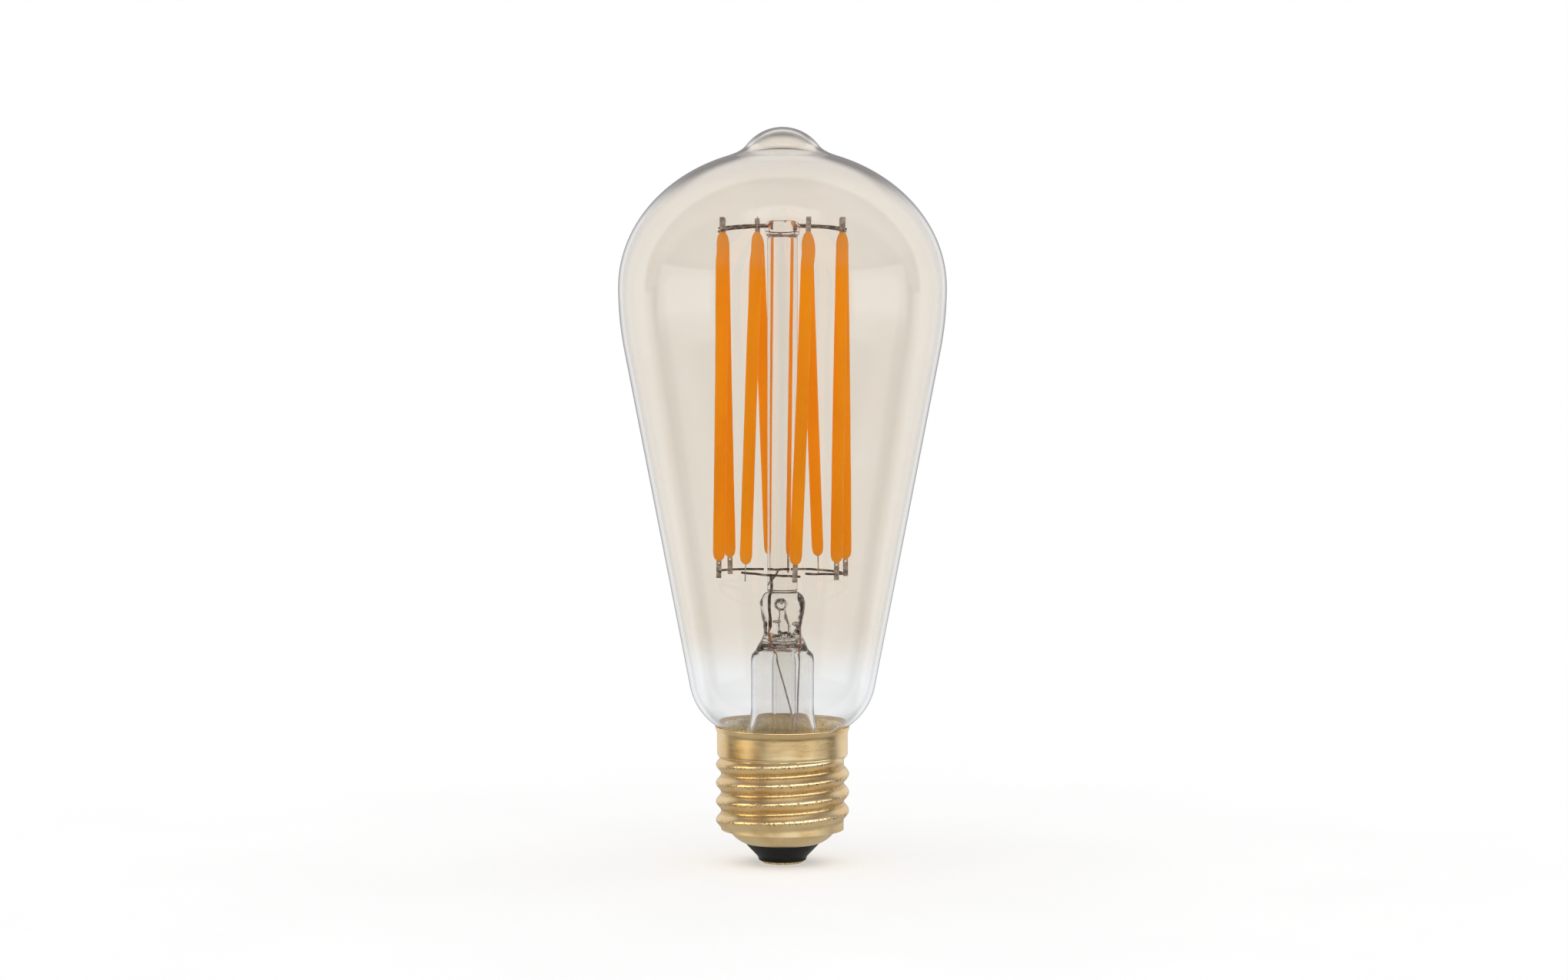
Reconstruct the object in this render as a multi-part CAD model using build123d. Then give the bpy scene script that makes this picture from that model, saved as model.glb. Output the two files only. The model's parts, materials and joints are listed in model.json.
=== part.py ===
from build123d import *
from math import atan2, cos, degrees, radians, sin, sqrt, tan
import os

# A smart LED filament bulb of the tall "squirrel cage" kind, standing on its centre contact.
# Millimetres, +Z up along the bulb's axis, z = 0 at the underside of the centre contact, -Y the front.

# ---- Driving dimensions -----------------------------------------------------------------------
# Glass envelope
TOTAL_HEIGHT = 144.0
BULB_RADIUS = 32.0
EQUATOR_Z = 112.8
DOME_RISE = 27.2
TIP_RADIUS = 8.8
TIP_HALF_ANGLE = 53.0
DOME_TOP_ANGLE = 68.0
BELLY_RADIUS = 64.6
CONE_ANGLE = 10.94
SHOULDER_RADIUS = 12.0
SHOULDER_TOP_Z = 34.8
NECK_RADIUS = 11.2
NECK_FILLET = 1.5
NECK_BOTTOM_Z = 22.0
ENVELOPE_WALL = 0.8

# Screw cap, size E27
SHEET = 0.3
RIM_Z = 27.0
RIM_RADIUS = 13.2
COLLAR_TOP_Z = 25.9
COLLAR_BOTTOM_Z = 21.5
COLLAR_RADIUS = 12.83
THREAD_TOP_Z = 20.6
THREAD_ROOT = 12.03
THREAD_CREST = 13.08
THREAD_PITCH = 3.629
THREAD_TURNS = 3.9
THREAD_START_Z = 6.7
THREAD_SINK = 0.3
THREAD_NOSE_DROP = 0.4
THREAD_OUTER_RIDGE = (1.7, 0.75)
THREAD_INNER_RIDGE = (1.3, 0.5)
THREAD_BOTTOM_Z = 9.2
HEEL_RADIUS = 10.75
HEEL_Z = 6.9
SHELL_HOLE_RADIUS = 7.4
SHELL_BOTTOM_Z = 4.0
INSULATOR_FOOT_RADIUS = 4.72
INSULATOR_FOOT_Z = 1.25
INSULATOR_TOP_Z = 7.2
WIRE_HOLE_RADIUS = 0.9
CONTACT_RADIUS = 4.2
CONTACT_THICKNESS = 0.55

# Glass stem
FLARE_RADIUS = 6.15
FLARE_WALL = 0.9
FLARE_BEND_Z = 30.5
FLARE_EDGE_HEIGHT = 0.8
FLARE_TOP_Z = 40.6
CAVITY_TOP_Z = 43.6
PINCH_TOP_Z = 53.45
EXHAUST_X = 0.3
EXHAUST_RADIUS = 2.4
EXHAUST_BORE = 1.6
EXHAUST_TOP_Z = 43.7
EXHAUST_TIP_Z = 16.8
EXHAUST_HOLE_Z = 51.0
ROD_RADIUS = 2.95
ROD_TOP_Z = 122.7
BUTTON_RADIUS = 3.55
BUTTON_TOP_Z = 125.9

# Filament cage: the top ring is turned by TWIST from the bottom ring
RING_RADIUS = 12.61
RING_BOTTOM_Z = 57.0
RING_TOP_Z = 124.7
TWIST = 12.0
FILAMENT_AZIMUTHS = [-67.5, -22.5, 22.5, 67.5, 112.5, 157.5, 202.5, 247.5]
EDGE_ON_FILAMENTS = [2, 6]
LAPPED_FILAMENTS = [3, 7]
LAP_GAP = 0.05
STRIP_WIDTH = 1.0
STRIP_THICKNESS = 0.2
STRIP_BELOW = 0.7
STRIP_ABOVE = 1.8
STRIP_HOLE_RADIUS = 0.17
STRIP_HOLE_BELOW_COAT = 0.45
COAT_RADIUS = 1.2
COAT_START = 2.7
COAT_END_GAP = 1.1
COAT_TAPER = 2.0
COAT_MOUTH_RADIUS = 0.45
CHIPS_PER_FILAMENT = 20
CHIP_SIZE = (0.3, 0.15, 0.6)

# Wires
RING_WIRE_RADIUS = 0.225
FEED_WIRE_RADIUS = 0.3
SEAL_WIRE_RADIUS = 0.22
OUTER_WIRE_RADIUS = 0.16
SUPPORT_WIRE_RADIUS = 0.22
WELD_OVERHANG = 0.3
BUTT_GAP = 0.12
RING_STEP = 15.0
RING_BEND = 11.3

# Driver electronics inside the cap
SLEEVE_RADIUS = 11.35
SLEEVE_WALL = 0.4
SLEEVE_BOTTOM_Z = 9.3
SLEEVE_TOP_Z = 20.9
SLEEVE_LIP = 1.4
BOARD_RADIUS = 10.7
BOARD_THICKNESS = 1.0
BOARD_Z = SLEEVE_BOTTOM_Z + SLEEVE_WALL
BOARD_TOP_Z = BOARD_Z + BOARD_THICKNESS
CEMENT_BOTTOM_Z = 21.3
CEMENT_TOP_Z = 26.3
SIDE_WIRE_RADIUS = 0.2
SIDE_WIRE_AZIMUTH = 46.0
CENTRE_WIRE_RADIUS = 0.3

# Components on the board: where each stands, and its size
STAND_OFF = 0.15
CAPACITOR_AT = (-5.4, 2.2)
CAPACITOR_RADIUS = 3.15
CAPACITOR_HEIGHT = 8.0
CAPACITOR_BUNG_RADIUS = 2.6
CAPACITOR_BUNG_HEIGHT = 0.3
INDUCTOR_AT = (5.2, -4.2)
INDUCTOR_RADIUS = 2.6
INDUCTOR_POST_RADIUS = 1.3
INDUCTOR_FLANGE = 0.9
INDUCTOR_HEIGHT = 5.0
WINDING_RADIUS = 2.35
RECTIFIER_AT = (5.4, 1.4)
RECTIFIER_SIZE = (4.8, 3.9, 2.3)
RECTIFIER_LEG = (0.7, 0.7, 0.5)
RECTIFIER_LEG_SPREAD = (1.25, 2.25)
CHIP_AT = (-4.6, -4.7)
CHIP_PACKAGE = (4.9, 3.9, 1.4)
CHIP_LEGS = 4
CHIP_LEG = (0.4, 0.5, 0.35)
CHIP_LEG_PITCH = 1.27
CHIP_LEG_SPREAD = 2.15
RADIO_BOARD_SIZE = (12.0, 0.8, 9.0)
RADIO_BOARD_Y = 6.6
RADIO_SHIELD_SIZE = (7.0, 1.4, 5.0)
RADIO_SHIELD_LIFT = 0.4
FUSE_Y = -8.0
FUSE_LEG_X = 4.0
FUSE_LIFT = 2.2
FUSE_RADIUS = 1.0
FUSE_LENGTH = 5.2
FUSE_LEG_RADIUS = 0.22

FAR = 40.0
PARTS = {}


# ---- Helpers ----------------------------------------------------------------------------------
def spin(*edges):
    """Revolve the closed half outline made of these XZ edges about the bulb's axis."""
    outline = Plane.XZ * make_face(Curve() + list(edges))
    return revolve(outline, Axis.Z)


def spin_points(points):
    """Revolve a half outline given as (radius, z) corners."""
    return spin(Polyline(*points, close=True))


def disc(radius, bottom, top, x=0.0, y=0.0):
    """An upright cylinder between two heights."""
    return Pos(x, y, bottom) * Cylinder(radius, top - bottom, align=(Align.CENTER, Align.CENTER, Align.MIN))


def block(x_size, y_size, z_size, x, y, bottom):
    """An upright box standing at a height."""
    upright = (Align.CENTER, Align.CENTER, Align.MIN)
    return Pos(x, y, bottom) * Box(x_size, y_size, z_size, align=upright)


def wire(points, radius, bend):
    """A round wire along straight runs joined by bends of one radius."""
    path = FilletPolyline(*points, radius=bend) if len(points) > 2 else Line(*points)
    return sweep(Plane(origin=path @ 0, z_dir=path % 0) * Circle(radius), path=path)


def polar(azimuth, z, radius=RING_RADIUS):
    """A point at an azimuth measured from the front, growing towards +X."""
    return Vector(radius * sin(radians(azimuth)), -radius * cos(radians(azimuth)), z)


# ---- Glass envelope ---------------------------------------------------------------------------
def envelope_edges(inset):
    """Half outline from the tip to the end of the neck, moved inwards by inset."""
    tip_centre = TOTAL_HEIGHT - TIP_RADIUS
    tip = CenterArc((0, tip_centre), TIP_RADIUS - inset, 90, -TIP_HALF_ANGLE)
    half_width, rise = BULB_RADIUS - inset, DOME_RISE - inset
    dome = EllipticalCenterArc((0, EQUATOR_Z), half_width, rise, 0, arc_size=DOME_TOP_ANGLE)
    blend = Spline(tip @ 1, dome @ 1, tangents=(tip % 1, -(dome % 1)))
    belly = CenterArc((BULB_RADIUS - BELLY_RADIUS, EQUATOR_Z), BELLY_RADIUS - inset, 0, -CONE_ANGLE)

    # The shoulder arc is tangent to the cone at SHOULDER_TOP_Z.
    lean = radians(CONE_ANGLE)
    belly_end_r = BULB_RADIUS - BELLY_RADIUS * (1 - cos(lean))
    belly_end_z = EQUATOR_Z - BELLY_RADIUS * sin(lean)
    cone_r = belly_end_r - (belly_end_z - SHOULDER_TOP_Z) * tan(lean)
    shoulder_centre = (cone_r - SHOULDER_RADIUS * cos(lean), SHOULDER_TOP_Z + SHOULDER_RADIUS * sin(lean))

    # The neck fillet touches the shoulder arc from outside and the neck's straight wall.
    fillet_r = NECK_RADIUS + NECK_FILLET
    reach = SHOULDER_RADIUS + NECK_FILLET
    across = fillet_r - shoulder_centre[0]
    fillet_z = shoulder_centre[1] - sqrt(reach**2 - across**2)
    turn = degrees(atan2(shoulder_centre[1] - fillet_z, across))
    shoulder = CenterArc(shoulder_centre, SHOULDER_RADIUS - inset, -CONE_ANGLE, CONE_ANGLE - turn)
    fillet = CenterArc((fillet_r, fillet_z), NECK_FILLET + inset, 180 - turn, turn)
    cone = Line(belly @ 1, shoulder @ 0)
    neck = Line(fillet @ 1, (NECK_RADIUS - inset, NECK_BOTTOM_Z))
    return [tip, blend, dome, belly, cone, shoulder, fillet, neck]


def envelope_solid(inset):
    edges = envelope_edges(inset)
    base = Line(edges[-1] @ 1, (0, NECK_BOTTOM_Z))
    axis = Line((0, NECK_BOTTOM_Z), edges[0] @ 0)
    return spin(*edges, base, axis)


# ---- Screw cap --------------------------------------------------------------------------------
def shell_blank(inset):
    """The cap's outer surface without its thread, moved inwards by inset, closed at the top."""
    top = RIM_Z + (1.0 if inset else 0.0)
    flare = (RIM_RADIUS - COLLAR_RADIUS) * (top - COLLAR_TOP_Z) / (RIM_Z - COLLAR_TOP_Z)
    upper = Polyline(
        (0, top),
        (COLLAR_RADIUS + flare - inset, top),
        (COLLAR_RADIUS - inset, COLLAR_TOP_Z),
        (COLLAR_RADIUS - inset, COLLAR_BOTTOM_Z),
        (THREAD_ROOT - inset, THREAD_TOP_Z),
        (THREAD_ROOT - inset, THREAD_BOTTOM_Z),
        (HEEL_RADIUS - inset, HEEL_Z),
    )
    bottom = (SHELL_HOLE_RADIUS, SHELL_BOTTOM_Z + inset)
    heel = Spline(upper @ 1, bottom, tangents=(upper % 1, (-1, -0.35)))
    base = Polyline(bottom, (0, SHELL_BOTTOM_Z + inset), (0, top))
    return spin(upper, heel, base)


def thread_ridge(inset, half_width, nose):
    """One ridge wound right-handed round the cap: straight flanks and a rounded nose."""
    root = THREAD_ROOT - inset - THREAD_SINK
    crest = THREAD_CREST - inset
    low_flank = Line((root, -half_width), (crest - THREAD_NOSE_DROP, -nose))
    crown = ThreePointArc(low_flank @ 1, (crest, 0), (crest - THREAD_NOSE_DROP, nose))
    high_flank = Line(crown @ 1, (root, half_width))
    back = Line(high_flank @ 1, low_flank @ 0)
    section = Plane.XZ * make_face(Curve() + [low_flank, crown, high_flank, back])
    path = Helix(THREAD_PITCH, THREAD_PITCH * THREAD_TURNS, THREAD_ROOT - inset)
    return Pos(0, 0, THREAD_START_Z) * sweep(section, path=path, is_frenet=True)


def thread_limit(inset):
    """The space that holds the thread, narrowing at both ends so that the ridge runs out."""
    crest = THREAD_CREST + 0.1 - inset
    return spin_points(
        [
            (0, COLLAR_BOTTOM_Z),
            (COLLAR_RADIUS - inset, COLLAR_BOTTOM_Z),
            (crest, COLLAR_BOTTOM_Z - 2.0),
            (crest, THREAD_BOTTOM_Z + 0.6),
            (HEEL_RADIUS - inset, HEEL_Z),
            (0, HEEL_Z),
        ]
    )


def make_cap(side_wire):
    outer = shell_blank(0) + (thread_ridge(0, *THREAD_OUTER_RIDGE) & thread_limit(0))
    inner = shell_blank(SHEET) + (thread_ridge(SHEET, *THREAD_INNER_RIDGE) & thread_limit(SHEET))
    hole = disc(SHELL_HOLE_RADIUS, 0, HEEL_Z)
    PARTS["cap_shell"] = outer - inner - hole - side_wire

    # Black glass insulator: a tapered foot below the shell and a bed of the same glass inside it.
    foot = spin_points(
        [
            (0, CONTACT_THICKNESS),
            (CONTACT_RADIUS, CONTACT_THICKNESS),
            (INSULATOR_FOOT_RADIUS - 0.35, 0.45),
            (INSULATOR_FOOT_RADIUS, INSULATOR_FOOT_Z - 0.45),
            (INSULATOR_FOOT_RADIUS, INSULATOR_FOOT_Z),
            (SHELL_HOLE_RADIUS, SHELL_BOTTOM_Z),
            (SHELL_HOLE_RADIUS, SHELL_BOTTOM_Z + SHEET),
            (0, SHELL_BOTTOM_Z + SHEET),
        ]
    )
    bed = shell_blank(SHEET) & disc(FAR, 0, INSULATOR_TOP_Z)
    wire_hole = disc(WIRE_HOLE_RADIUS, 0, FAR)
    PARTS["cap_insulator"] = foot + bed - wire_hole

    # Centre contact: a brass disc with a rounded edge and a soldered wire hole.
    contact = disc(CONTACT_RADIUS, 0, CONTACT_THICKNESS)
    contact = fillet(contact.edges().group_by(Axis.Z)[0], CONTACT_THICKNESS * 0.8)
    solder = disc(WIRE_HOLE_RADIUS, 0.1, 1.4)
    solder = fillet(solder.edges().group_by(Axis.Z)[-1], 0.5)
    PARTS["centre_contact"] = contact - disc(WIRE_HOLE_RADIUS, 0, FAR)
    PARTS["contact_solder"] = solder - disc(CENTRE_WIRE_RADIUS, 0.6, FAR)


# ---- Glass stem -------------------------------------------------------------------------------
def pinch_solid():
    """The pressed glass between the rod and the flare tube, widest across X near its top."""
    sections = [
        (FLARE_TOP_Z, FLARE_RADIUS, FLARE_RADIUS),
        (42.1, 5.15, 4.95),
        (44.8, 3.8, 3.3),
        (46.8, 3.7, 2.75),
        (49.0, 4.15, 2.75),
        (51.2, 4.35, 2.9),
        (52.7, 3.85, 2.85),
        (PINCH_TOP_Z, 3.1, 2.7),
    ]
    return loft([Pos(0, 0, z) * Ellipse(half_x, half_y) for z, half_x, half_y in sections])


def flare_tube():
    """The tube below the pinch, widening to the rim that is fused to the envelope's neck."""
    inner = FLARE_RADIUS - FLARE_WALL
    edge_r = NECK_RADIUS - ENVELOPE_WALL - 0.1
    outer_wall = Line((FLARE_RADIUS, FLARE_TOP_Z), (FLARE_RADIUS, FLARE_BEND_Z))
    outer_bell = Spline(outer_wall @ 1, (edge_r, NECK_BOTTOM_Z), tangents=((0, -1), (1, -0.9)))
    rim = Polyline(
        (edge_r, NECK_BOTTOM_Z),
        (NECK_RADIUS, NECK_BOTTOM_Z),
        (NECK_RADIUS, NECK_BOTTOM_Z - FLARE_EDGE_HEIGHT),
        (edge_r - 0.5, NECK_BOTTOM_Z - FLARE_EDGE_HEIGHT),
    )
    inner_bell = Spline(rim @ 1, (inner, FLARE_BEND_Z - 0.5), tangents=((-1, 0.9), (0, 1)))
    inner_wall = Polyline(inner_bell @ 1, (inner, FLARE_TOP_Z), (FLARE_RADIUS, FLARE_TOP_Z))
    return spin(outer_wall, outer_bell, rim, inner_bell, inner_wall)


def flare_cavity():
    """The domed space inside the top of the flare tube, under the pinch."""
    inner = FLARE_RADIUS - FLARE_WALL
    dome = EllipticalCenterArc((0, FLARE_TOP_Z), inner, CAVITY_TOP_Z - FLARE_TOP_Z, 0, arc_size=90)
    base = Polyline((0, CAVITY_TOP_Z), (0, FLARE_TOP_Z), (inner, FLARE_TOP_Z))
    return spin(dome, base)


def make_stem(wires_in_glass):
    bore_radius = EXHAUST_BORE - 0.5
    duct = disc(EXHAUST_RADIUS, 0, EXHAUST_TOP_Z, EXHAUST_X)
    duct += disc(bore_radius, EXHAUST_TOP_Z, EXHAUST_HOLE_Z, EXHAUST_X)
    duct += Pos(EXHAUST_X, 0, EXHAUST_HOLE_Z) * Sphere(bore_radius)
    mouth = Pos(EXHAUST_X - 0.3, -2.6, EXHAUST_HOLE_Z) * Rot(90, 0, 0) * Cone(0.8, 1.5, 3.4)
    PARTS["stem_flare"] = pinch_solid() + flare_tube() - flare_cavity() - duct - mouth - wires_in_glass

    top = (0, EXHAUST_TOP_Z)
    outside = Polyline(top, (EXHAUST_RADIUS, EXHAUST_TOP_Z), (EXHAUST_RADIUS, EXHAUST_TIP_Z + 3.2))
    tip = Spline(outside @ 1, (0, EXHAUST_TIP_Z), tangents=((0, -1), (-1, 0)))
    tube = spin(outside, tip, Line((0, EXHAUST_TIP_Z), top))
    bore = disc(EXHAUST_BORE, EXHAUST_TIP_Z + 3.6, EXHAUST_TOP_Z)
    bore = fillet(bore.edges().group_by(Axis.Z)[0], EXHAUST_BORE * 0.9)
    PARTS["exhaust_tube"] = Pos(EXHAUST_X, 0, 0) * (tube - bore)

    PARTS["support_rod"] = disc(ROD_RADIUS, PINCH_TOP_Z, ROD_TOP_Z)


def make_button(wires_in_glass):
    belly_z = (ROD_TOP_Z + BUTTON_TOP_Z) / 2
    low = Spline((ROD_RADIUS, ROD_TOP_Z), (BUTTON_RADIUS, belly_z), tangents=((1, 0.6), (0, 1)))
    high = Spline(low @ 1, (0, BUTTON_TOP_Z), tangents=((0, 1), (-1, 0)))
    axis = Polyline((0, BUTTON_TOP_Z), (0, ROD_TOP_Z), (ROD_RADIUS, ROD_TOP_Z))
    PARTS["rod_button"] = spin(low, high, axis) - wires_in_glass


# ---- Ring wires and supports ------------------------------------------------------------------
def ring_points(start, end, z_start, z_end, arch=0.0):
    """Points along the ring from one azimuth to another, arching up by arch half way."""
    count = max(2, round((end - start) / RING_STEP))
    points = []
    for i in range(count + 1):
        t = i / count
        z = z_start + (z_end - z_start) * t + arch * sin(radians(180 * t))
        points.append(polar(start + (end - start) * t, z))
    return points


def point_on(points, azimuth):
    """The point of a ring wire at an azimuth."""
    for a, b in zip(points, points[1:]):
        start = degrees(atan2(a.X, -a.Y))
        span = (degrees(atan2(b.X, -b.Y)) - start) % 360
        offset = (azimuth - start) % 360
        if offset <= span:
            return polar(azimuth, a.Z + (b.Z - a.Z) * offset / span)
    raise ValueError("azimuth beyond the wire")


def welded_wire(ring, azimuth, inner_points, radius, bend, ring_wire):
    """A wire that runs inwards from a ring wire: a thick one closes round it, a thin one butts on it."""
    joint = point_on(ring, azimuth)
    outward = (joint - Vector(inner_points[0])).normalized()
    overhang = WELD_OVERHANG if radius > RING_WIRE_RADIUS else -BUTT_GAP
    return wire([joint + outward * overhang, *inner_points], radius, bend) - ring_wire


def make_top_wires():
    """Three wires join the filaments' upper ends; copper-clad supports hold them on the button."""
    rings = {
        "left": ring_points(-79, -13, 123.7, 124.6, 0.1),
        "right": ring_points(17, 75, 124.7, 123.7, 0.1),
        "back": ring_points(101, 259, 124.3, 124.4, 0.85),
    }
    roots = {
        "left": (-34, [(-1.9, -0.7, 124.9), (-1.2, 0.9, 124.4)]),
        "right": (34, [(2.0, -0.6, 124.7), (1.3, 1.0, 124.3)]),
        "back": (178, [(0.1, 0.5, 124.9), (0.5, -1.3, 125.2)]),
    }
    for side, ring in rings.items():
        azimuth, inner_points = roots[side]
        ring_wire = wire(ring, RING_WIRE_RADIUS, RING_BEND)
        PARTS[f"top_wire_{side}"] = ring_wire
        support = welded_wire(ring, azimuth, inner_points, SUPPORT_WIRE_RADIUS, 0.6, ring_wire)
        PARTS[f"support_wire_{side}"] = support


def make_bottom_wires():
    """Four wires join the lower ends: the front and back ones are fed, the side ones link two filaments."""
    rings = {
        "front": ring_points(-38, 15, 58.0, 57.4),
        "left": ring_points(198, 287, 56.9, 57.6),
        "right": ring_points(21, 107, 57.9, 56.9),
        "back": ring_points(113, 193, 56.8, 57.0),
    }
    for side, ring in rings.items():
        PARTS[f"bottom_wire_{side}"] = wire(ring, RING_WIRE_RADIUS, RING_BEND)

    feeds = {
        "left": ("front", -9, [(-2.25, -2.1, 53.4), (-2.3, -0.9, 51.6), (-2.05, -0.4, 46.6)]),
        "right": ("back", 172, [(2.35, 2.2, 53.6), (3.1, 0.7, 51.6), (3.0, 0.2, 46.6)]),
    }
    for side, (ring_name, azimuth, inner_points) in feeds.items():
        ring_wire = PARTS[f"bottom_wire_{ring_name}"]
        feed = welded_wire(rings[ring_name], azimuth, inner_points, FEED_WIRE_RADIUS, 0.8, ring_wire)
        PARTS[f"inner_lead_{side}"] = feed


# ---- Filaments --------------------------------------------------------------------------------
def ring_ends(number):
    """Where a filament crosses the bottom and the top wires, or laps them on the outside."""
    azimuth = FILAMENT_AZIMUTHS[number - 1]
    lap = STRIP_THICKNESS / 2 + RING_WIRE_RADIUS + LAP_GAP if number in LAPPED_FILAMENTS else 0
    radius = RING_RADIUS + lap
    return polar(azimuth - TWIST, RING_BOTTOM_Z, radius), polar(azimuth, RING_TOP_Z, radius)


def filament_frame(number):
    """The filament's own frame: origin at its bottom crossing, Z along it, X across its flat strip."""
    low, high = ring_ends(number)
    if number in LAPPED_FILAMENTS:
        middle = radians(FILAMENT_AZIMUTHS[number - 1] - TWIST / 2)
        across = (cos(middle), sin(middle), 0)
    elif number in EDGE_ON_FILAMENTS:
        across = (0, 1, 0)
    else:
        across = (1, 0, 0)
    return Plane(origin=low, x_dir=across, z_dir=high - low)


def filament_solids(length):
    """Carrier strip, LED chips and phosphor coat of one filament, in the filament's own frame."""
    full = length + STRIP_BELOW + STRIP_ABOVE
    strip = block(STRIP_WIDTH, STRIP_THICKNESS, full, 0, 0, -STRIP_BELOW)
    hole = Pos(0, 0, COAT_START - STRIP_HOLE_BELOW_COAT) * Rot(90, 0, 0) * Cylinder(STRIP_HOLE_RADIUS, 1.0)
    strip -= hole

    coat_length = length - COAT_START - COAT_END_GAP
    pitch = (coat_length - 2 * COAT_TAPER) / (CHIPS_PER_FILAMENT - 1)
    chip_y = -(STRIP_THICKNESS + CHIP_SIZE[1]) / 2
    first = COAT_START + COAT_TAPER
    chip_heights = [first + i * pitch for i in range(CHIPS_PER_FILAMENT)]
    chips = Part() + [Pos(0, chip_y, z) * Box(*CHIP_SIZE) for z in chip_heights]

    top = COAT_START + coat_length
    mouth = Line((0, COAT_START), (COAT_MOUTH_RADIUS, COAT_START))
    low = Spline(mouth @ 1, (COAT_RADIUS, COAT_START + COAT_TAPER), tangents=((0.8, 1), (0, 1)))
    side = Line(low @ 1, (COAT_RADIUS, top - COAT_TAPER))
    high = Spline(side @ 1, (COAT_MOUTH_RADIUS, top), tangents=((0, 1), (-0.8, 1)))
    close = Polyline((COAT_MOUTH_RADIUS, top), (0, top), (0, COAT_START))
    coat = spin(mouth, low, side, high, close) - strip - chips
    return strip, chips, coat


def make_filaments(ring_wires):
    """Eight like filaments; the ring wires pass through the end tabs of all but the lapped ones."""
    low, high = ring_ends(1)
    strip, chips, coat = filament_solids((high - low).length)
    all_chips = Part()
    for number in range(1, len(FILAMENT_AZIMUTHS) + 1):
        frame = filament_frame(number)
        PARTS[f"filament_{number}_strip"] = frame * strip - ring_wires
        PARTS[f"filament_{number}_coat"] = frame * coat
        all_chips += frame * chips
    PARTS["led_chips"] = all_chips


def make_lead_wires():
    """Copper-clad seal wires through the pinch, and thin outer leads down to the driver board."""
    routes = {
        "left": [(-2.05, -0.4, 46.6), (-2.25, -0.8, 45.0), (-1.5, -2.7, 41.6)],
        "right": [(3.0, 0.2, 46.6), (3.0, -0.2, 45.0), (3.25, -2.2, 41.6)],
    }
    outer = {
        "left": [(0.7, -3.4, 33.8), (1.9, -3.7, 27.0), (0.2, -4.2, 18.0), (0.2, -4.2, BOARD_TOP_Z)],
        "right": [(2.9, -3.0, 33.8), (2.7, -3.0, 27.0), (2.0, -3.0, 18.0), (2.0, -3.0, BOARD_TOP_Z)],
    }
    for side, route in routes.items():
        PARTS[f"seal_wire_{side}"] = wire(route, SEAL_WIRE_RADIUS, 0.6)
        lead = wire([route[-1], *outer[side]], OUTER_WIRE_RADIUS, 1.0)
        knot = Pos(route[-1]) * Sphere(OUTER_WIRE_RADIUS * 2)
        PARTS[f"outer_lead_{side}"] = lead + knot - PARTS[f"seal_wire_{side}"]


# ---- Driver in the cap ------------------------------------------------------------------------
def side_wire_solid():
    """The wire from the board over the sleeve, through the cement and out over the shell's rim."""
    inside = [(10.1, BOARD_TOP_Z), (10.1, 18.6), (11.87, 21.2), (11.87, 25.2)]
    over_rim = [(13.05, 26.75), (13.98, 27.5), (14.78, 28.1)]
    route = [polar(SIDE_WIRE_AZIMUTH, z, radius) for radius, z in inside + over_rim]
    return wire(route, SIDE_WIRE_RADIUS, 0.45)


def make_sleeve():
    cup = disc(SLEEVE_RADIUS, SLEEVE_BOTTOM_Z, SLEEVE_TOP_Z)
    cup -= disc(SLEEVE_RADIUS - SLEEVE_WALL, BOARD_Z, SLEEVE_TOP_Z)
    cup -= disc(SLEEVE_RADIUS - SLEEVE_WALL - SLEEVE_LIP, SLEEVE_BOTTOM_Z, SLEEVE_TOP_Z)
    PARTS["insulating_sleeve"] = cup - PARTS["side_wire"]


def make_driver():
    """Plain components standing on the board: each is placed by its own (x, y)."""
    PARTS["driver_board"] = disc(BOARD_RADIUS, BOARD_Z, BOARD_TOP_Z)
    PARTS["centre_wire"] = disc(CENTRE_WIRE_RADIUS, 0.6, BOARD_Z)
    make_capacitor()
    make_inductor()
    make_rectifier()
    make_driver_chip()
    make_radio()
    make_fuse_resistor()


def make_capacitor():
    can_bottom = BOARD_TOP_Z + CAPACITOR_BUNG_HEIGHT
    can = disc(CAPACITOR_RADIUS, can_bottom, can_bottom + CAPACITOR_HEIGHT, *CAPACITOR_AT)
    can = fillet(can.edges().group_by(Axis.Z)[-1], 0.5)
    bung = disc(CAPACITOR_BUNG_RADIUS, BOARD_TOP_Z, can_bottom, *CAPACITOR_AT)
    PARTS["smoothing_capacitor"] = can + bung


def make_inductor():
    """A ferrite spool and the winding between its flanges."""
    top = BOARD_TOP_Z + INDUCTOR_HEIGHT
    low_flange = BOARD_TOP_Z + INDUCTOR_FLANGE
    high_flange = top - INDUCTOR_FLANGE
    spool = disc(INDUCTOR_RADIUS, BOARD_TOP_Z, low_flange, *INDUCTOR_AT)
    spool += disc(INDUCTOR_POST_RADIUS, BOARD_TOP_Z, top, *INDUCTOR_AT)
    spool += disc(INDUCTOR_RADIUS, high_flange, top, *INDUCTOR_AT)
    PARTS["inductor_core"] = spool
    winding = disc(WINDING_RADIUS, low_flange, high_flange, *INDUCTOR_AT)
    PARTS["inductor_winding"] = winding - disc(INDUCTOR_POST_RADIUS, 0, FAR, *INDUCTOR_AT)


def make_rectifier():
    """A moulded block on four legs."""
    x, y = RECTIFIER_AT
    body = block(*RECTIFIER_SIZE, x, y, BOARD_TOP_Z + STAND_OFF)
    body = chamfer(body.edges().group_by(Axis.Z)[-1], 0.3)
    for side_x in (-1, 1):
        for side_y in (-1, 1):
            leg_x = x + side_x * RECTIFIER_LEG_SPREAD[0]
            leg_y = y + side_y * RECTIFIER_LEG_SPREAD[1]
            body += block(*RECTIFIER_LEG, leg_x, leg_y, BOARD_TOP_Z)
    PARTS["bridge_rectifier"] = body


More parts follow.
